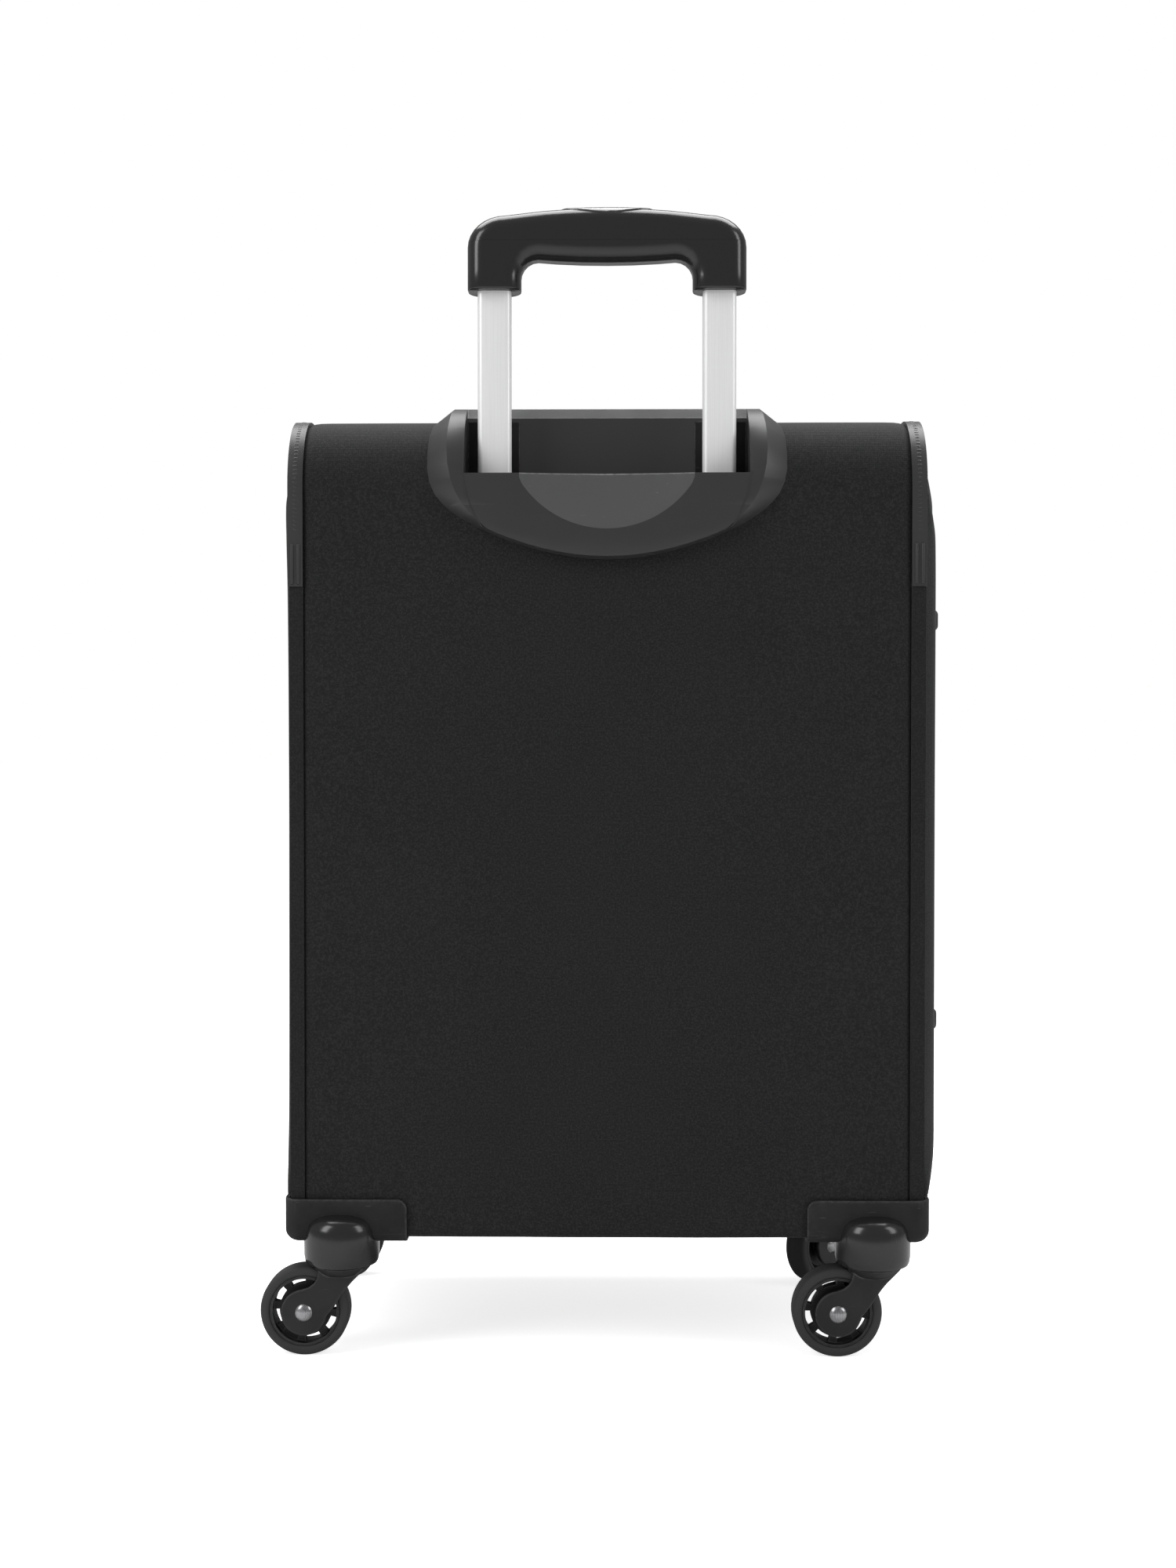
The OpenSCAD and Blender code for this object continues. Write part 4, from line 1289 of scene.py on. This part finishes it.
@dataclass
class Caster:
    """One swivel caster: fixed cup, fork, axle rivet, hub and tyre."""

    side: Side
    end: End
    swivel_y: float
    turn: float = 0.0
    swivel_x: float = 155.0
    trail: float = 21.0
    radius: float = 26.0
    arm_in: float = 8.2
    arm_out: float = 11.0

    @property
    def name(self) -> str:
        """Which corner it stands at."""
        return f"{self.end.value}_{self.side.name.lower()}"

    def place(self) -> Matrix:
        """From the caster's own axes to the case's."""
        axis = Vector((self.side.value * self.swivel_x, self.swivel_y, 0))
        return Matrix.Translation(axis) @ Matrix.Rotation(math.radians(self.turn), 4, "Z")

    def _finish(self, form: Form, what: str, finish: Finish, body: str, nodes: Sequence[str],
                degrees: float = 35) -> None:
        """Puts a form at its corner and fits it."""
        bmesh.ops.recalc_face_normals(form.bm, faces=form.bm.faces)
        form.bm.transform(self.place())
        piece = smooth(form.make(f"{what}_{self.name}", finish, outward=False), degrees)
        fit(piece, body, nodes)

    def build(self) -> None:
        """Makes the caster's pieces."""
        self.cup()
        self.fork()
        self.axle()
        self.hub()
        self.tyre()

    def cup(self) -> None:
        """The domed housing that holds the swivel bearing."""
        form = Form()
        form.turned([(0, 84.0), (7, 83.7), (13, 82.6), (17.6, 80.6), (20.4, 77.6), (21.8, 73.6), (22.1, 68.0),
                     (21.9, 58.5), (21.3, 55.0), (20.6, 53.7), (19.4, 53.3), (8.0, 53.3), (8.0, 56.0), (0, 56.0)],
                    (0, 0, 0), (0, 0, 1), 64)
        self._finish(form, "cup", GLOSS, "case", ["caster_cups"], 40)

    def fork(self) -> None:
        """Two curved arms that hang from a crown and hold the wheel."""
        hub = (-self.trail, self.radius)
        form = Form()
        rounds, disc_r = 24, 13.4
        disc = [(hub[0] + disc_r * math.cos(a), hub[1] + disc_r * math.sin(a))
                for a in [math.radians(-8 - 246 * k / rounds) for k in range(rounds + 1)]]
        neck = [(-21.8, 39.6), (-18.0, 40.9), (-15.2, 43.0), (-13.4, 45.8), (-12.6, 49.0), (-12.4, 52.6), (15.0, 52.6),
                (13.6, 50.6), (10.4, 47.4), (7.2, 44.2), (4.2, 40.6), (1.4, 36.6), (-1.2, 32.4), (-4.2, 28.2)]
        for inner in (self.arm_in, -self.arm_out):
            arm = form.face([(x, inner, z) for x, z in disc + neck])
            form.extrude([arm], (0, self.arm_out - self.arm_in, 0))
        form.bevel(0.9, 3, angle=50)
        crown = Form()
        crown.turned([(0, 53.1), (16.6, 53.1), (17.4, 52.4), (16.4, 50.6), (14.4, 48.4), (12.6, 47.2), (0, 46.6)],
                     (0, 0, 0), (0, 0, 1), 48)
        crown_piece = crown.make("crown", WHEEL)
        room = Form()
        room.turned([(0, -self.arm_in), (self.radius + 0.9, -self.arm_in), (self.radius + 0.9, self.arm_in),
                     (0, self.arm_in)], (hub[0], 0, hub[1]), (0, 1, 0), 64)
        carve(crown_piece, room.make("room", WHEEL))
        kept = Form()
        kept.bm.from_mesh(crown_piece.data)
        kept.bm.transform(Form.datum.matrix().inverted())
        joined = bpy.data.meshes.new("joined")
        kept.bm.to_mesh(joined)
        kept.bm.free()
        form.bm.from_mesh(joined)
        bpy.data.objects.remove(crown_piece)
        self._finish(form, "fork_arms", WHEEL, f"swivel_{self.name}", [f"fork_{self.name}"], 40)

    def axle(self) -> None:
        """The rivet through the hub, with a domed head on each side."""
        form = Form()
        out = self.arm_out
        half = [(0, out + 2.1), (1.8, out + 1.9), (3.3, out + 1.4), (4.4, out + 0.7), (5.1, out - 0.1),
                (3.0, out - 0.2)]
        form.turned(half + [(r, -h) for r, h in reversed(half)], (-self.trail, 0, self.radius), (0, 1, 0), 32)
        self._finish(form, "rivet", STEEL, f"swivel_{self.name}", [f"axle_{self.name}"])

    def hub(self) -> None:
        """The wheel's centre: a boss, a thin web pierced by eight curved slots, and a rim."""
        form = Form()
        centre = (-self.trail, 0, self.radius)
        form.turned([(r, 0.0) for r in (7.8, 11.0, 14.4, 15.2, 18.6, 19.2)], centre, (0, 1, 0), 96)
        form.drop_faces(lambda f: self._in_slot(f.calc_center_median() - Vector(centre)))
        bmesh.ops.recalc_face_normals(form.bm, faces=form.bm.faces)
        bmesh.ops.solidify(form.bm, geom=list(form.bm.faces), thickness=5.0)
        middle = sum(v.co.y for v in form.bm.verts) / len(form.bm.verts)
        bmesh.ops.translate(form.bm, verts=form.bm.verts, vec=(0, -middle, 0))
        for inner, outer, reach in ((3.1, 8.6, 7.8), (18.8, 20.5, 7.1)):
            form.turned([(inner, -reach), (inner, reach), (outer - 0.4, reach), (outer, reach - 0.4),
                         (outer, 0.4 - reach), (outer - 0.4, -reach), (inner, -reach)], centre, (0, 1, 0), 96)
        self._finish(form, "hub_disc", WHEEL, f"wheel_{self.name}", [f"hub_{self.name}"])

    def _in_slot(self, offset: Vector) -> bool:
        """Whether a point of the hub lies in one of its slots."""
        reach = math.hypot(offset.x, offset.z)
        angle = math.degrees(math.atan2(offset.z, offset.x)) % 45
        return 15.2 < reach < 18.6 and angle < 30

    def tyre(self) -> None:
        """A solid ring with rounded shoulders and a shallow groove on each face."""
        form = Form()
        r, w = self.radius, 7.7
        profile = [(20.4, 0.0), (20.4, w - 1.2), (20.8, w - 0.4), (21.6, w - 0.1), (22.6, w), (24.2, w - 0.1),
                   (25.1, w - 0.6), (25.7, w - 1.5), (r - 0.04, w - 2.6), (r, 0.0)]
        form.turned(profile + [(a, -b) for a, b in reversed(profile[:-1])], (-self.trail, 0, r), (0, 1, 0), 72)
        self._finish(form, "tyre_ring", TYRE, f"wheel_{self.name}", [f"tyre_{self.name}"], 45)


# ---------------------------------------------------------------- underside


@dataclass
class Underside:
    """Corner guards and bottom rails."""

    inner: float = 116.0
    outer: float = 187.6
    low: float = 66.6
    high: float = 92.0
    stand: float = 2.5
    length: float = 56.0

    def build(self) -> None:
        """Makes the four guards and the two rails."""
        for side in Side:
            for end in End:
                self.guard(side, end)
        self.rails()

    def guard(self, side: Side, end: End) -> None:
        """An L-shaped moulding round a bottom corner."""
        form = Form()
        form.block((self.inner, -self.stand, self.low), (self.outer, self.length, self.high))
        form.bevel(9.0, 6, lambda e: all(v.co.x > self.outer - 0.1 and v.co.y < -self.stand + 0.1 for v in e.verts))
        form.bevel(7.0, 6, self._outer_rim, angle=60)
        bmesh.ops.delete(form.bm, geom=[f for f in form.bm.faces if all(v.co.z > self.high - 0.1 for v in f.verts)
                                        or all(v.co.x < self.inner + 0.1 for v in f.verts)
                                        or all(v.co.y > self.length - 0.1 for v in f.verts)], context="FACES")
        for turn in (22.5, 45.0, 67.5):
            way = Vector((-math.sin(math.radians(turn)), 0, math.cos(math.radians(turn))))
            form.cut(tuple(Vector((self.inner + 6.0, 0, self.high - 6.0)) + way * 6.0), tuple(way), drop=True)
        bmesh.ops.recalc_face_normals(form.bm, faces=form.bm.faces)
        form.bm.normal_update()
        lowest = min(form.bm.faces, key=lambda f: f.calc_center_median().z)
        if lowest.normal.z > 0:
            bmesh.ops.reverse_faces(form.bm, faces=form.bm.faces)
        bmesh.ops.solidify(form.bm, geom=list(form.bm.faces), thickness=2.3)
        if end is End.FRONT:
            form.shift(lambda p: Vector((p.x, LINES.depth - p.y, p.z)))
        name = f"{end.value}_{side.name.lower()}"
        piece = form.mirrored(side).make(f"guard_{name}", GUARD)
        ease(piece, 0.6, 30)
        settle(piece)
        fit(smooth(piece), "case", [f"corner_guard_{name}"])

    def _outer_rim(self, edge: bmesh.types.BMEdge) -> bool:
        """Whether an edge lies along the guard's bottom, on its two outer sides."""
        places = [v.co for v in edge.verts]
        low = all(p.z < self.low + 0.1 and (p.x > self.outer - 9.5 or p.y < -self.stand + 9.5) for p in places)
        return low and not (all(p.x < self.inner + 0.1 for p in places)
                            or all(p.y > self.length - 0.1 for p in places))

    def rails(self) -> None:
        """Two low rails that the case slides on."""
        form = Form()
        for x in (-53.0, 53.0):
            form.block((x - 6.4, 22, LINES.low - 3), (x + 6.4, 173, LINES.low + 1))
        form.bevel(1.6, 3)
        fit(smooth(form.make("skid_rails", GUARD)), "case", ["bottom_skids"])


# ---------------------------------------------------------------- lid


@dataclass
class Lid:
    """The zipped front: padded panel, its piping, pocket and zips."""

    body: str = "lid"
    back: float = 196.0
    face: float = 212.0
    inset: float = 6.5
    stuffing: Stuffing = field(default_factory=lambda: Stuffing(pressure=3.0, cap=0.004))

    def build(self) -> None:
        """Makes the lid's pieces."""
        self.panel()
        self.edge()
        self.pocket()
        self.inside()
        self.main_zip()
        self.pocket_zip()

    def panel(self) -> None:
        """The padded front panel."""
        form = Form()
        outline = LINES.zip_panel(form, -self.inset - 0.6, self.back + 0.6)
        form.extrude([outline], (0, self.face - self.back - 1.6, 0))
        form.bevel(3.0, 3, lambda e: all(v.co.y > self.face - 1.5 for v in e.verts), angle=60)
        pad = form.make("lid_front_panel", CANVAS)
        limit = Form.datum.back_y + (self.back + 9.0) * MM
        self.stuffing.fill(pad, lambda p: p.y < limit)
        soften(pad)
        fit(pad, self.body, ["lid_shell"])

    def edge(self) -> None:
        """Piping round the lid's front edge."""
        form = Form()
        ring(form, -self.inset - 4.2, -self.inset + 0.2, self.face - 2.4, self.face + 2.4)
        form.bevel(1.7, 4, angle=60)
        fit(smooth(form.make("lid_edge_piping", BINDING), 50), self.body, ["lid_piping"])

    def pocket(self) -> None:
        """A flat zipped pocket on the lid's front."""
        form = Form()
        outline = form.panel((-134, 136), (134, 394), [20, 20, 8, 8], "xz", self.face + 0.3)
        form.extrude([outline], (0, 9.0, 0))
        form.bevel(4.0, 3, lambda e: all(v.co.y > self.face + 9 for v in e.verts), angle=60)
        pad = form.make("front_pocket_panel", CANVAS)
        limit = Form.datum.back_y + (self.face + 3.0) * MM
        Stuffing(pressure=2.5, cap=0.003).fill(pad, lambda p: p.y < limit)
        soften(pad)
        fit(pad, self.body, ["front_pocket"])

    def inside(self) -> None:
        """The lid's own lining, seen when it is open."""
        form = Form()
        outline = LINES.zip_panel(form, -self.inset - 1.5, self.back - 0.2)
        form.extrude([outline], (0, 3.4, 0))
        fit(form.make("lid_lining", LINING), self.body)

    def main_zip(self) -> None:
        """The tapes and coils of the main zip, one half on each body."""
        for body, node, near, far, coil in (("case", "zip_tape_case", 0.1, 10.0, 1.2),
                                            ("lid", "zip_tape_lid", -10.4, -0.5, -1.7)):
            tape = Form()
            ring(tape, near, far, 195.0, 196.0)
            tape.bevel(0.3, 1, angle=60)
            fit(smooth(tape.make(f"main_zip_tape_{body}", ZIP_TAPE)), body, [node])
            teeth = Form()
            teeth.turned([(0, -0.62), (0.5, -0.5), (0.75, 0), (0.5, 0.5), (0, 0.62)], (0, 0, 0), (0, 0, 1), 8)
            bmesh.ops.scale(teeth.bm, vec=(1.6, 1.0, 1.0), verts=teeth.bm.verts)
            teeth.copies(around_zip(coil, 196.6, 2.0))
            fit(smooth(teeth.make(f"main_zip_coil_{body}", COIL), 80), body)

    def pocket_zip(self) -> None:
        """The pocket's tape and coil."""
        tape = Form()
        tape.block((-125, self.face, 397), (125, self.face + 1.0, 413))
        tape.bevel(0.3, 1)
        fit(smooth(tape.make("pocket_zip_cloth", ZIP_TAPE)), self.body, ["pocket_zip_tape"])
        teeth = Form()
        teeth.turned([(0, -0.62), (0.5, -0.5), (0.75, 0), (0.5, 0.5), (0, 0.62)], (0, 0, 0), (1, 0, 0), 8)
        bmesh.ops.scale(teeth.bm, vec=(1.0, 1.0, 1.6), verts=teeth.bm.verts)
        pitch = 2.0
        places = [Matrix.Translation((-117 + pitch * k, self.face + 1.6, z))
                  for k in range(118) for z in (403.8, 406.2)]
        teeth.copies(places)
        fit(smooth(teeth.make("pocket_zip_coil", COIL), 80), self.body)


def ring(form: Form, near: float, far: float, y0: float, y1: float) -> None:
    """Adds a closed flat ring along the zip line.

    Args:
        form: the form to add to.
        near: its inner edge, measured outwards from the zip line.
        far: its outer edge.
        y0: its back face.
        y1: its front face.
    """
    loops = []
    for grow in (near, far):
        outline = LINES.zip_panel(form, grow, y0)
        loops += list(outline.edges)
        bmesh.ops.delete(form.bm, geom=[outline], context="FACES_ONLY")
    made = bmesh.ops.bridge_loops(form.bm, edges=loops)["faces"]
    form.extrude(made, (0, y1 - y0, 0))
    bmesh.ops.recalc_face_normals(form.bm, faces=form.bm.faces)


def around_zip(grow: float, y: float, pitch: float) -> list[Matrix]:
    """Places evenly spaced along the zip line.

    Args:
        grow: distance outside the line.
        y: their depth.
        pitch: distance between them.

    Returns:
        A matrix for each place, turned to follow the line.
    """
    half, radius = LINES.zip_half + grow, LINES.zip_radius + grow
    low, high = LINES.zip_low - grow, LINES.zip_high + grow
    # The hinge side, between the second and third of these straight runs, has no coil.
    runs = [((half, low + radius), (0.0, 1.0), high - low - 2 * radius, 0),
            ((half - radius, high), (-1.0, 0.0), 2 * (half - radius), 1),
            ((-half + radius, low), (1.0, 0.0), 2 * (half - radius), 3)]
    places: list[Matrix] = []
    for start, way, length, quarters in runs:
        turned = Matrix.Rotation(math.pi / 2 * quarters, 4, "Y").inverted()
        for k in range(int(length / pitch)):
            x, z = start[0] + way[0] * pitch * k, start[1] + way[1] * pitch * k
            places.append(Matrix.Translation((x, y, z)) @ turned)
    for sx, sz, first in ((1, 1, 0.0), (-1, 1, 90.0), (-1, -1, 180.0), (1, -1, 270.0)):
        centre = (sx * (half - radius), high - radius if sz > 0 else low + radius)
        count = int(radius * math.pi / 2 / pitch)
        for k in range(count):
            turn = math.radians(first + 90.0 * k / count)
            spot_x, spot_z = centre[0] + radius * math.cos(turn), centre[1] + radius * math.sin(turn)
            places.append(Matrix.Translation((spot_x, y, spot_z)) @ Matrix.Rotation(-turn, 4, "Y"))
    return places


# ---------------------------------------------------------------- sliders and handles


@dataclass
class Slider:
    """A zip slider and its puller. It is drawn on a zip that runs along Z."""

    name: str
    place: Matrix
    nodes: tuple[str, str]

    def build(self) -> None:
        """Makes the slider's body with its bridge, and the puller."""
        form = Form()
        plate = form.shape([(-6, 8), (-4.2, -9), (4.2, -9), (6, 8), (0, 6.5)], (2, 2, 2, 2, 1.5), "xz", 0.3, 4)
        form.extrude([plate], (0, 3.3, 0))
        form.bevel(0.7, 2, angle=50)
        for x in (-4.6, 3.2):
            post = form.shape([(3.0, -1.2), (8.8, 0.4), (8.8, 3.8), (3.0, 4.8)], (0, 1.4, 1.4, 0), "yz", x, 4)
            form.extrude([post], (1.4, 0, 0))
        form.turned([(0, -3.5), (0.9, -3.5), (0.9, 3.5), (0, 3.5)], (0, 7, 2), (1, 0, 0), 16)
        form.bm.transform(self.place)
        fit(smooth(form.make(f"{self.name}_body", GUNMETAL)), self.nodes[0], [self.nodes[0]])
        tab = Form()
        outline = tab.shape([(-2.0, 4.3), (-2.9, -6.0), (-2.9, -28.0), (2.9, -28.0), (2.9, -6.0), (2.0, 4.3)],
                            (1.2, 3, 2.8, 2.8, 3, 1.2), "xz", 5.9, 5)
        tab.extrude([outline], (0, 2.2, 0))
        tab.bevel(0.5, 2, angle=50)
        tab.bm.transform(self.place)
        fit(smooth(tab.make(f"{self.name}_tab", GUNMETAL)), self.nodes[1], [self.nodes[1]])


@dataclass
class CarryHandles:
    """The top and side handles and the mouldings that anchor them."""

    top_y: float = 100.0
    side_y: float = 98.0

    def build(self) -> None:
        """Makes both handles and their anchors."""
        self.top()
        self.side()
        self.anchors()

    def top(self) -> None:
        """The padded strap on top of the case."""
        form = Form()
        form.block((-89, self.top_y - 11, LINES.high + 10.3), (89, self.top_y + 11, LINES.high + 16.0))
        form.slice(0, range(-80, 81, 10))
        form.bevel(2.2, 4, lambda e: abs(e.verts[0].co.y - e.verts[1].co.y) < 0.1
                   and abs(e.verts[0].co.z - e.verts[1].co.z) < 0.1, angle=60)
        for side in (-1, 1):
            x = sorted((side * 86.0, side * 89.0))
            form.block((x[0], self.top_y - 8.6, LINES.high + 1.0), (x[1], self.top_y + 8.6, LINES.high + 11.0))
        fit(smooth(form.make("top_handle_strap", WEBBING)), "top_handle", ["top_carry_handle"])

    def side(self) -> None:
        """The padded strap on the right-hand side."""
        form = Form()
        form.block((193.5, self.side_y - 14, 192.3), (199.5, self.side_y + 14, 425.7))
        form.slice(2, range(200, 421, 10))
        form.bevel(2.2, 4, lambda e: abs(e.verts[0].co.y - e.verts[1].co.y) < 0.1
                   and abs(e.verts[0].co.x - e.verts[1].co.x) < 0.1, angle=60)
        form.block((195, self.side_y - 8.6, 184.3), (197, self.side_y + 8.6, 193))
        form.block((195, self.side_y - 8.6, 425), (197, self.side_y + 8.6, 433.7))
        fit(smooth(form.make("side_handle_strap", WEBBING)), "side_handle", ["side_carry_handle"])

    def anchors(self) -> None:
        """Four moulded anchors."""
        form = Form()
        for side in (-1, 1):
            x = sorted((side * 81.0, side * 98.0))
            form.block((x[0], self.top_y - 12, LINES.high - 0.5), (x[1], self.top_y + 12, LINES.high + 10.0))
        for low, high in ((179.0, 192.0), (426.0, 439.0)):
            form.block((185.0, self.side_y - 15, low), (204.5, self.side_y + 15, high))
        form.bevel(3.0, 4)
        fit(smooth(form.make("handle_anchor_mouldings", SATIN)), "case", ["handle_anchors"])


@dataclass
class Interior:
    """The lining, the crossed straps and the lid's fabric hinge."""

    half: float = 168.0
    deep: Flat = (31.0, 180.0)
    tall: Flat = (86.0, 538.0)
    cross_z: float = 310.0
    lean: float = 52.0
    reach: float = 224.0
    hinge_x: float = -176.0

    def build(self) -> None:
        """Makes each piece."""
        self.lining()
        for lift, lean in ((33.0, -self.lean), (34.7, self.lean)):
            self.strap(lift, math.radians(lean))
        self.buckle()
        self.hinge()

    def lining(self) -> None:
        """A thin cloth box, open to the front, a little slack on its walls."""
        form = Form()
        form.block((-self.half, self.deep[0], self.tall[0]), (self.half, self.deep[1], self.tall[1]))
        form.drop_faces(lambda f: f.calc_center_median().y > self.deep[1] - 0.1)
        form.slice(0, range(-154, 155, 14))
        form.slice(1, range(45, 176, 13))
        form.slice(2, range(100, 530, 14))
        form.shift(self._slack)
        bmesh.ops.solidify(form.bm, geom=list(form.bm.faces), thickness=0.9)
        cloth = smooth(form.make("cloth_lining", LINING), 60)
        fit(cloth, "case", ["lining"])

    def _slack(self, point: Vector) -> Vector:
        """Moves a point of the lining in from its wall by a shallow ripple."""
        depth = 0.5 + 0.45 * noise.noise(point * 0.03)
        middle = Vector((0, 240, sum(self.tall) / 2))
        walls = (abs(abs(point.x) - self.half) < 0.1, abs(point.y - self.deep[0]) < 0.1,
                 min(abs(point.z - z) for z in self.tall) < 0.1)
        inward = Vector([math.copysign(depth, m - p) if wall else 0.0 for m, p, wall in zip(middle, point, walls)])
        return point + inward

    def strap(self, lift: float, lean: float) -> None:
        """One webbing strap, sewn down at its ends and bowed a little between them."""
        form = Form()
        steps, half = 32, 15.0
        along = Vector((math.cos(lean), 0, math.sin(lean)))
        across = Vector((-math.sin(lean), 0, math.cos(lean)))
        rows = []
        for step in range(steps + 1):
            share = 2 * step / steps - 1
            centre = along * (share * self.reach) + Vector((0, lift + 2.2 * (1 - share ** 2), self.cross_z))
            rows.append([centre + across * (half * k) for k in (-1, -0.4, 0.4, 1)])
        for low, high in zip(rows, rows[1:]):
            for k in range(3):
                form.face([low[k], low[k + 1], high[k + 1], high[k]])
        form.weld()
        bmesh.ops.recalc_face_normals(form.bm, faces=form.bm.faces)
        bmesh.ops.solidify(form.bm, geom=list(form.bm.faces), thickness=1.3)
        name = "rising" if lean > 0 else "falling"
        ribbon = smooth(form.make(f"packing_strap_{name}", WEBBING), 50)
        fit(ribbon, "case", ["pack_straps"])

    def buckle(self) -> None:
        """The clip where the straps cross."""
        form = Form()
        plate = form.panel((-21, self.cross_z - 16), (21, self.cross_z + 16), [5] * 4, "xz", 37.4, 4)
        form.extrude([plate], (0, 3.0, 0))
        form.bevel(0.9, 3)
        fit(smooth(form.make("strap_clip", SATIN)), "case")

    def hinge(self) -> None:
        """The cloth strip that the lid turns on, sewn to both zip tapes."""
        form = Form()
        low, high, steps = 146.0, 475.0, 24
        section = [(-6.0, 196.4), (-3.6, 196.8), (-1.8, 197.2), (0.0, 197.4), (1.8, 197.2), (3.6, 196.8), (6.0, 196.4)]
        rows = [[Vector((self.hinge_x + x, y, low + (high - low) * k / steps)) for x, y in section]
                for k in range(steps + 1)]
        for below, above in zip(rows, rows[1:]):
            for k in range(len(section) - 1):
                form.face([below[k], below[k + 1], above[k + 1], above[k]])
        form.weld()
        bmesh.ops.recalc_face_normals(form.bm, faces=form.bm.faces)
        bmesh.ops.solidify(form.bm, geom=list(form.bm.faces), thickness=0.7)
        strip = smooth(form.make("lid_hinge_strip", BINDING), 60)
        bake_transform(strip)
        log.info("%-28s bends between case and lid", strip.name)


# ---------------------------------------------------------------- kept solids and studio


KEPT: dict[str, Finish] = {
    "back_board": BOARD, "opening_wire_frame": STEEL,
    "outer_tubes": ANODISED, "middle_tubes": ANODISED, "trolley_base": SATIN, "inner_plugs": SATIN,
    "push_rods": BOARD, "lock_pins": STEEL, "button_spring": STEEL, "guard_screws": STEEL,
}


def dress_kept(nodes: dict[str, bpy.types.Object]) -> None:
    """Gives the inner pieces that keep their plain shape their finishes."""
    for name, finish in KEPT.items():
        piece = nodes[name]
        piece.data.materials.clear()
        piece.data.materials.append(finish.material())


@dataclass
class Studio:
    """Pale floor, soft lights and the camera."""

    eye: Point = (0.0032, -1.151, 0.358)
    lens: float = 45.77
    pitch: float = -1.24
    yaw: float = 0.70

    def build(self) -> None:
        """Makes the studio."""
        self.camera()
        self.floor()
        self.sky()
        self.light("key_softbox", (0.0, 0.35, 1.9), (0, 0.02, 0.5), (2.0, 1.0), 36.0)
        self.light("left_softbox", (-1.5, -1.1, 1.5), (0, 0, 0.4), (0.7, 1.4), 17.0)
        self.light("right_softbox", (1.7, -0.8, 1.4), (0, 0, 0.4), (0.6, 1.4), 11.0)
        bpy.context.scene.view_settings.view_transform = "Standard"

    def camera(self) -> None:
        """The view from behind the case, level with its middle."""
        data = bpy.data.cameras.new("view")
        data.lens = self.lens
        data.sensor_width = 36.0
        data.clip_start = 0.05
        camera = bpy.data.objects.new("view", data)
        bpy.context.scene.collection.objects.link(camera)
        camera.location = (self.eye[0], Form.datum.back_y + self.eye[1], self.eye[2])
        camera.rotation_euler = (math.radians(90 + self.pitch), 0.0, math.radians(self.yaw))
        bpy.context.scene.camera = camera

    def floor(self) -> None:
        """A wide pale floor."""
        form = Form()
        form.face([(-30000, -30000, 0), (30000, -30000, 0), (30000, 30000, 0), (-30000, 30000, 0)])
        paper = bpy.data.materials.new("studio_paper")
        paper.use_nodes = True
        graph = Graph(paper.node_tree)
        seen = graph.node("ShaderNodeBsdfPrincipled", Roughness=0.9, Emission_Strength=0.75)
        lit = graph.node("ShaderNodeBsdfPrincipled", Roughness=0.9)
        for shader in (seen, lit):
            shader.inputs["Base Color"].default_value = (0.9, 0.9, 0.9, 1)
            shader.inputs["Emission Color"].default_value = (1, 1, 1, 1)
        mix = graph.node("ShaderNodeMixShader")
        graph.link(graph.node("ShaderNodeLightPath").outputs["Is Camera Ray"], mix.inputs[0])
        graph.link(lit.outputs[0], mix.inputs[1])
        graph.link(seen.outputs[0], mix.inputs[2])
        graph.link(mix.outputs[0], graph.node("ShaderNodeOutputMaterial").inputs[0])
        piece = form.make("studio_floor", GUARD, outward=False)
        piece.data.materials.clear()
        piece.data.materials.append(paper)

    def sky(self) -> None:
        """A white surround, dimmer as a light than as a backdrop."""
        world = bpy.data.worlds.new("surround")
        world.use_nodes = True
        bpy.context.scene.world = world
        graph = Graph(world.node_tree)
        seen = graph.node("ShaderNodeBackground", Strength=1.0)
        seen.inputs["Color"].default_value = (1, 1, 1, 1)
        lit = graph.node("ShaderNodeBackground", Strength=0.33)
        lit.inputs["Color"].default_value = (1, 1, 1, 1)
        mix = graph.node("ShaderNodeMixShader")
        graph.link(graph.node("ShaderNodeLightPath").outputs["Is Camera Ray"], mix.inputs[0])
        graph.link(lit.outputs[0], mix.inputs[1])
        graph.link(seen.outputs[0], mix.inputs[2])
        graph.link(mix.outputs[0], graph.node("ShaderNodeOutputWorld").inputs[0])

    def light(self, name: str, place: Point, aim: Point, size: Flat, watts: float) -> None:
        """Hangs a rectangular softbox.

        Args:
            name: its name.
            place: where it hangs, in metres.
            aim: what it points at.
            size: its width and height.
            watts: its power.
        """
        data = bpy.data.lights.new(name, "AREA")
        data.shape = "RECTANGLE"
        data.size, data.size_y = size
        data.energy = watts
        lamp = bpy.data.objects.new(name, data)
        bpy.context.scene.collection.objects.link(lamp)
        lamp.location = place
        lamp.rotation_euler = (Vector(aim) - Vector(place)).to_track_quat("-Z", "Y").to_euler()


def main() -> None:
    """Builds every sub-assembly in order."""
    logging.basicConfig(level=logging.INFO, format="%(message)s")
    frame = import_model()
    Form.datum = Datum(back_y=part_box("wrap_panel")[0].y)
    Studio().build()
    Shell().build()
    Bezel().build()
    Grip().build()
    for side in Side:
        Caster(side, End.REAR, 8.0).build()
        Caster(side, End.FRONT, 180.0, turn=45.0 if side is Side.RIGHT else 0.0).build()
    Underside().build()
    Lid().build()
    for name, z in (("upper", 330.0), ("lower", 290.0)):
        nodes = (f"main_slider_{name}", f"main_puller_{name}")
        Slider(f"main_zip_{name}", Matrix.Translation((LINES.zip_half, 197.5, z)), nodes).build()
    across = Matrix.Translation((104.0, 214.5, 405.0)) @ Matrix.Rotation(math.pi / 2, 4, "Y")
    Slider("pocket_zip", across, ("pocket_slider", "pocket_puller")).build()
    CarryHandles().build()
    Interior().build()
    dress_kept(frame["nodes"])
    bpy.context.view_layer.update()


if __name__ == "__main__":
    main()
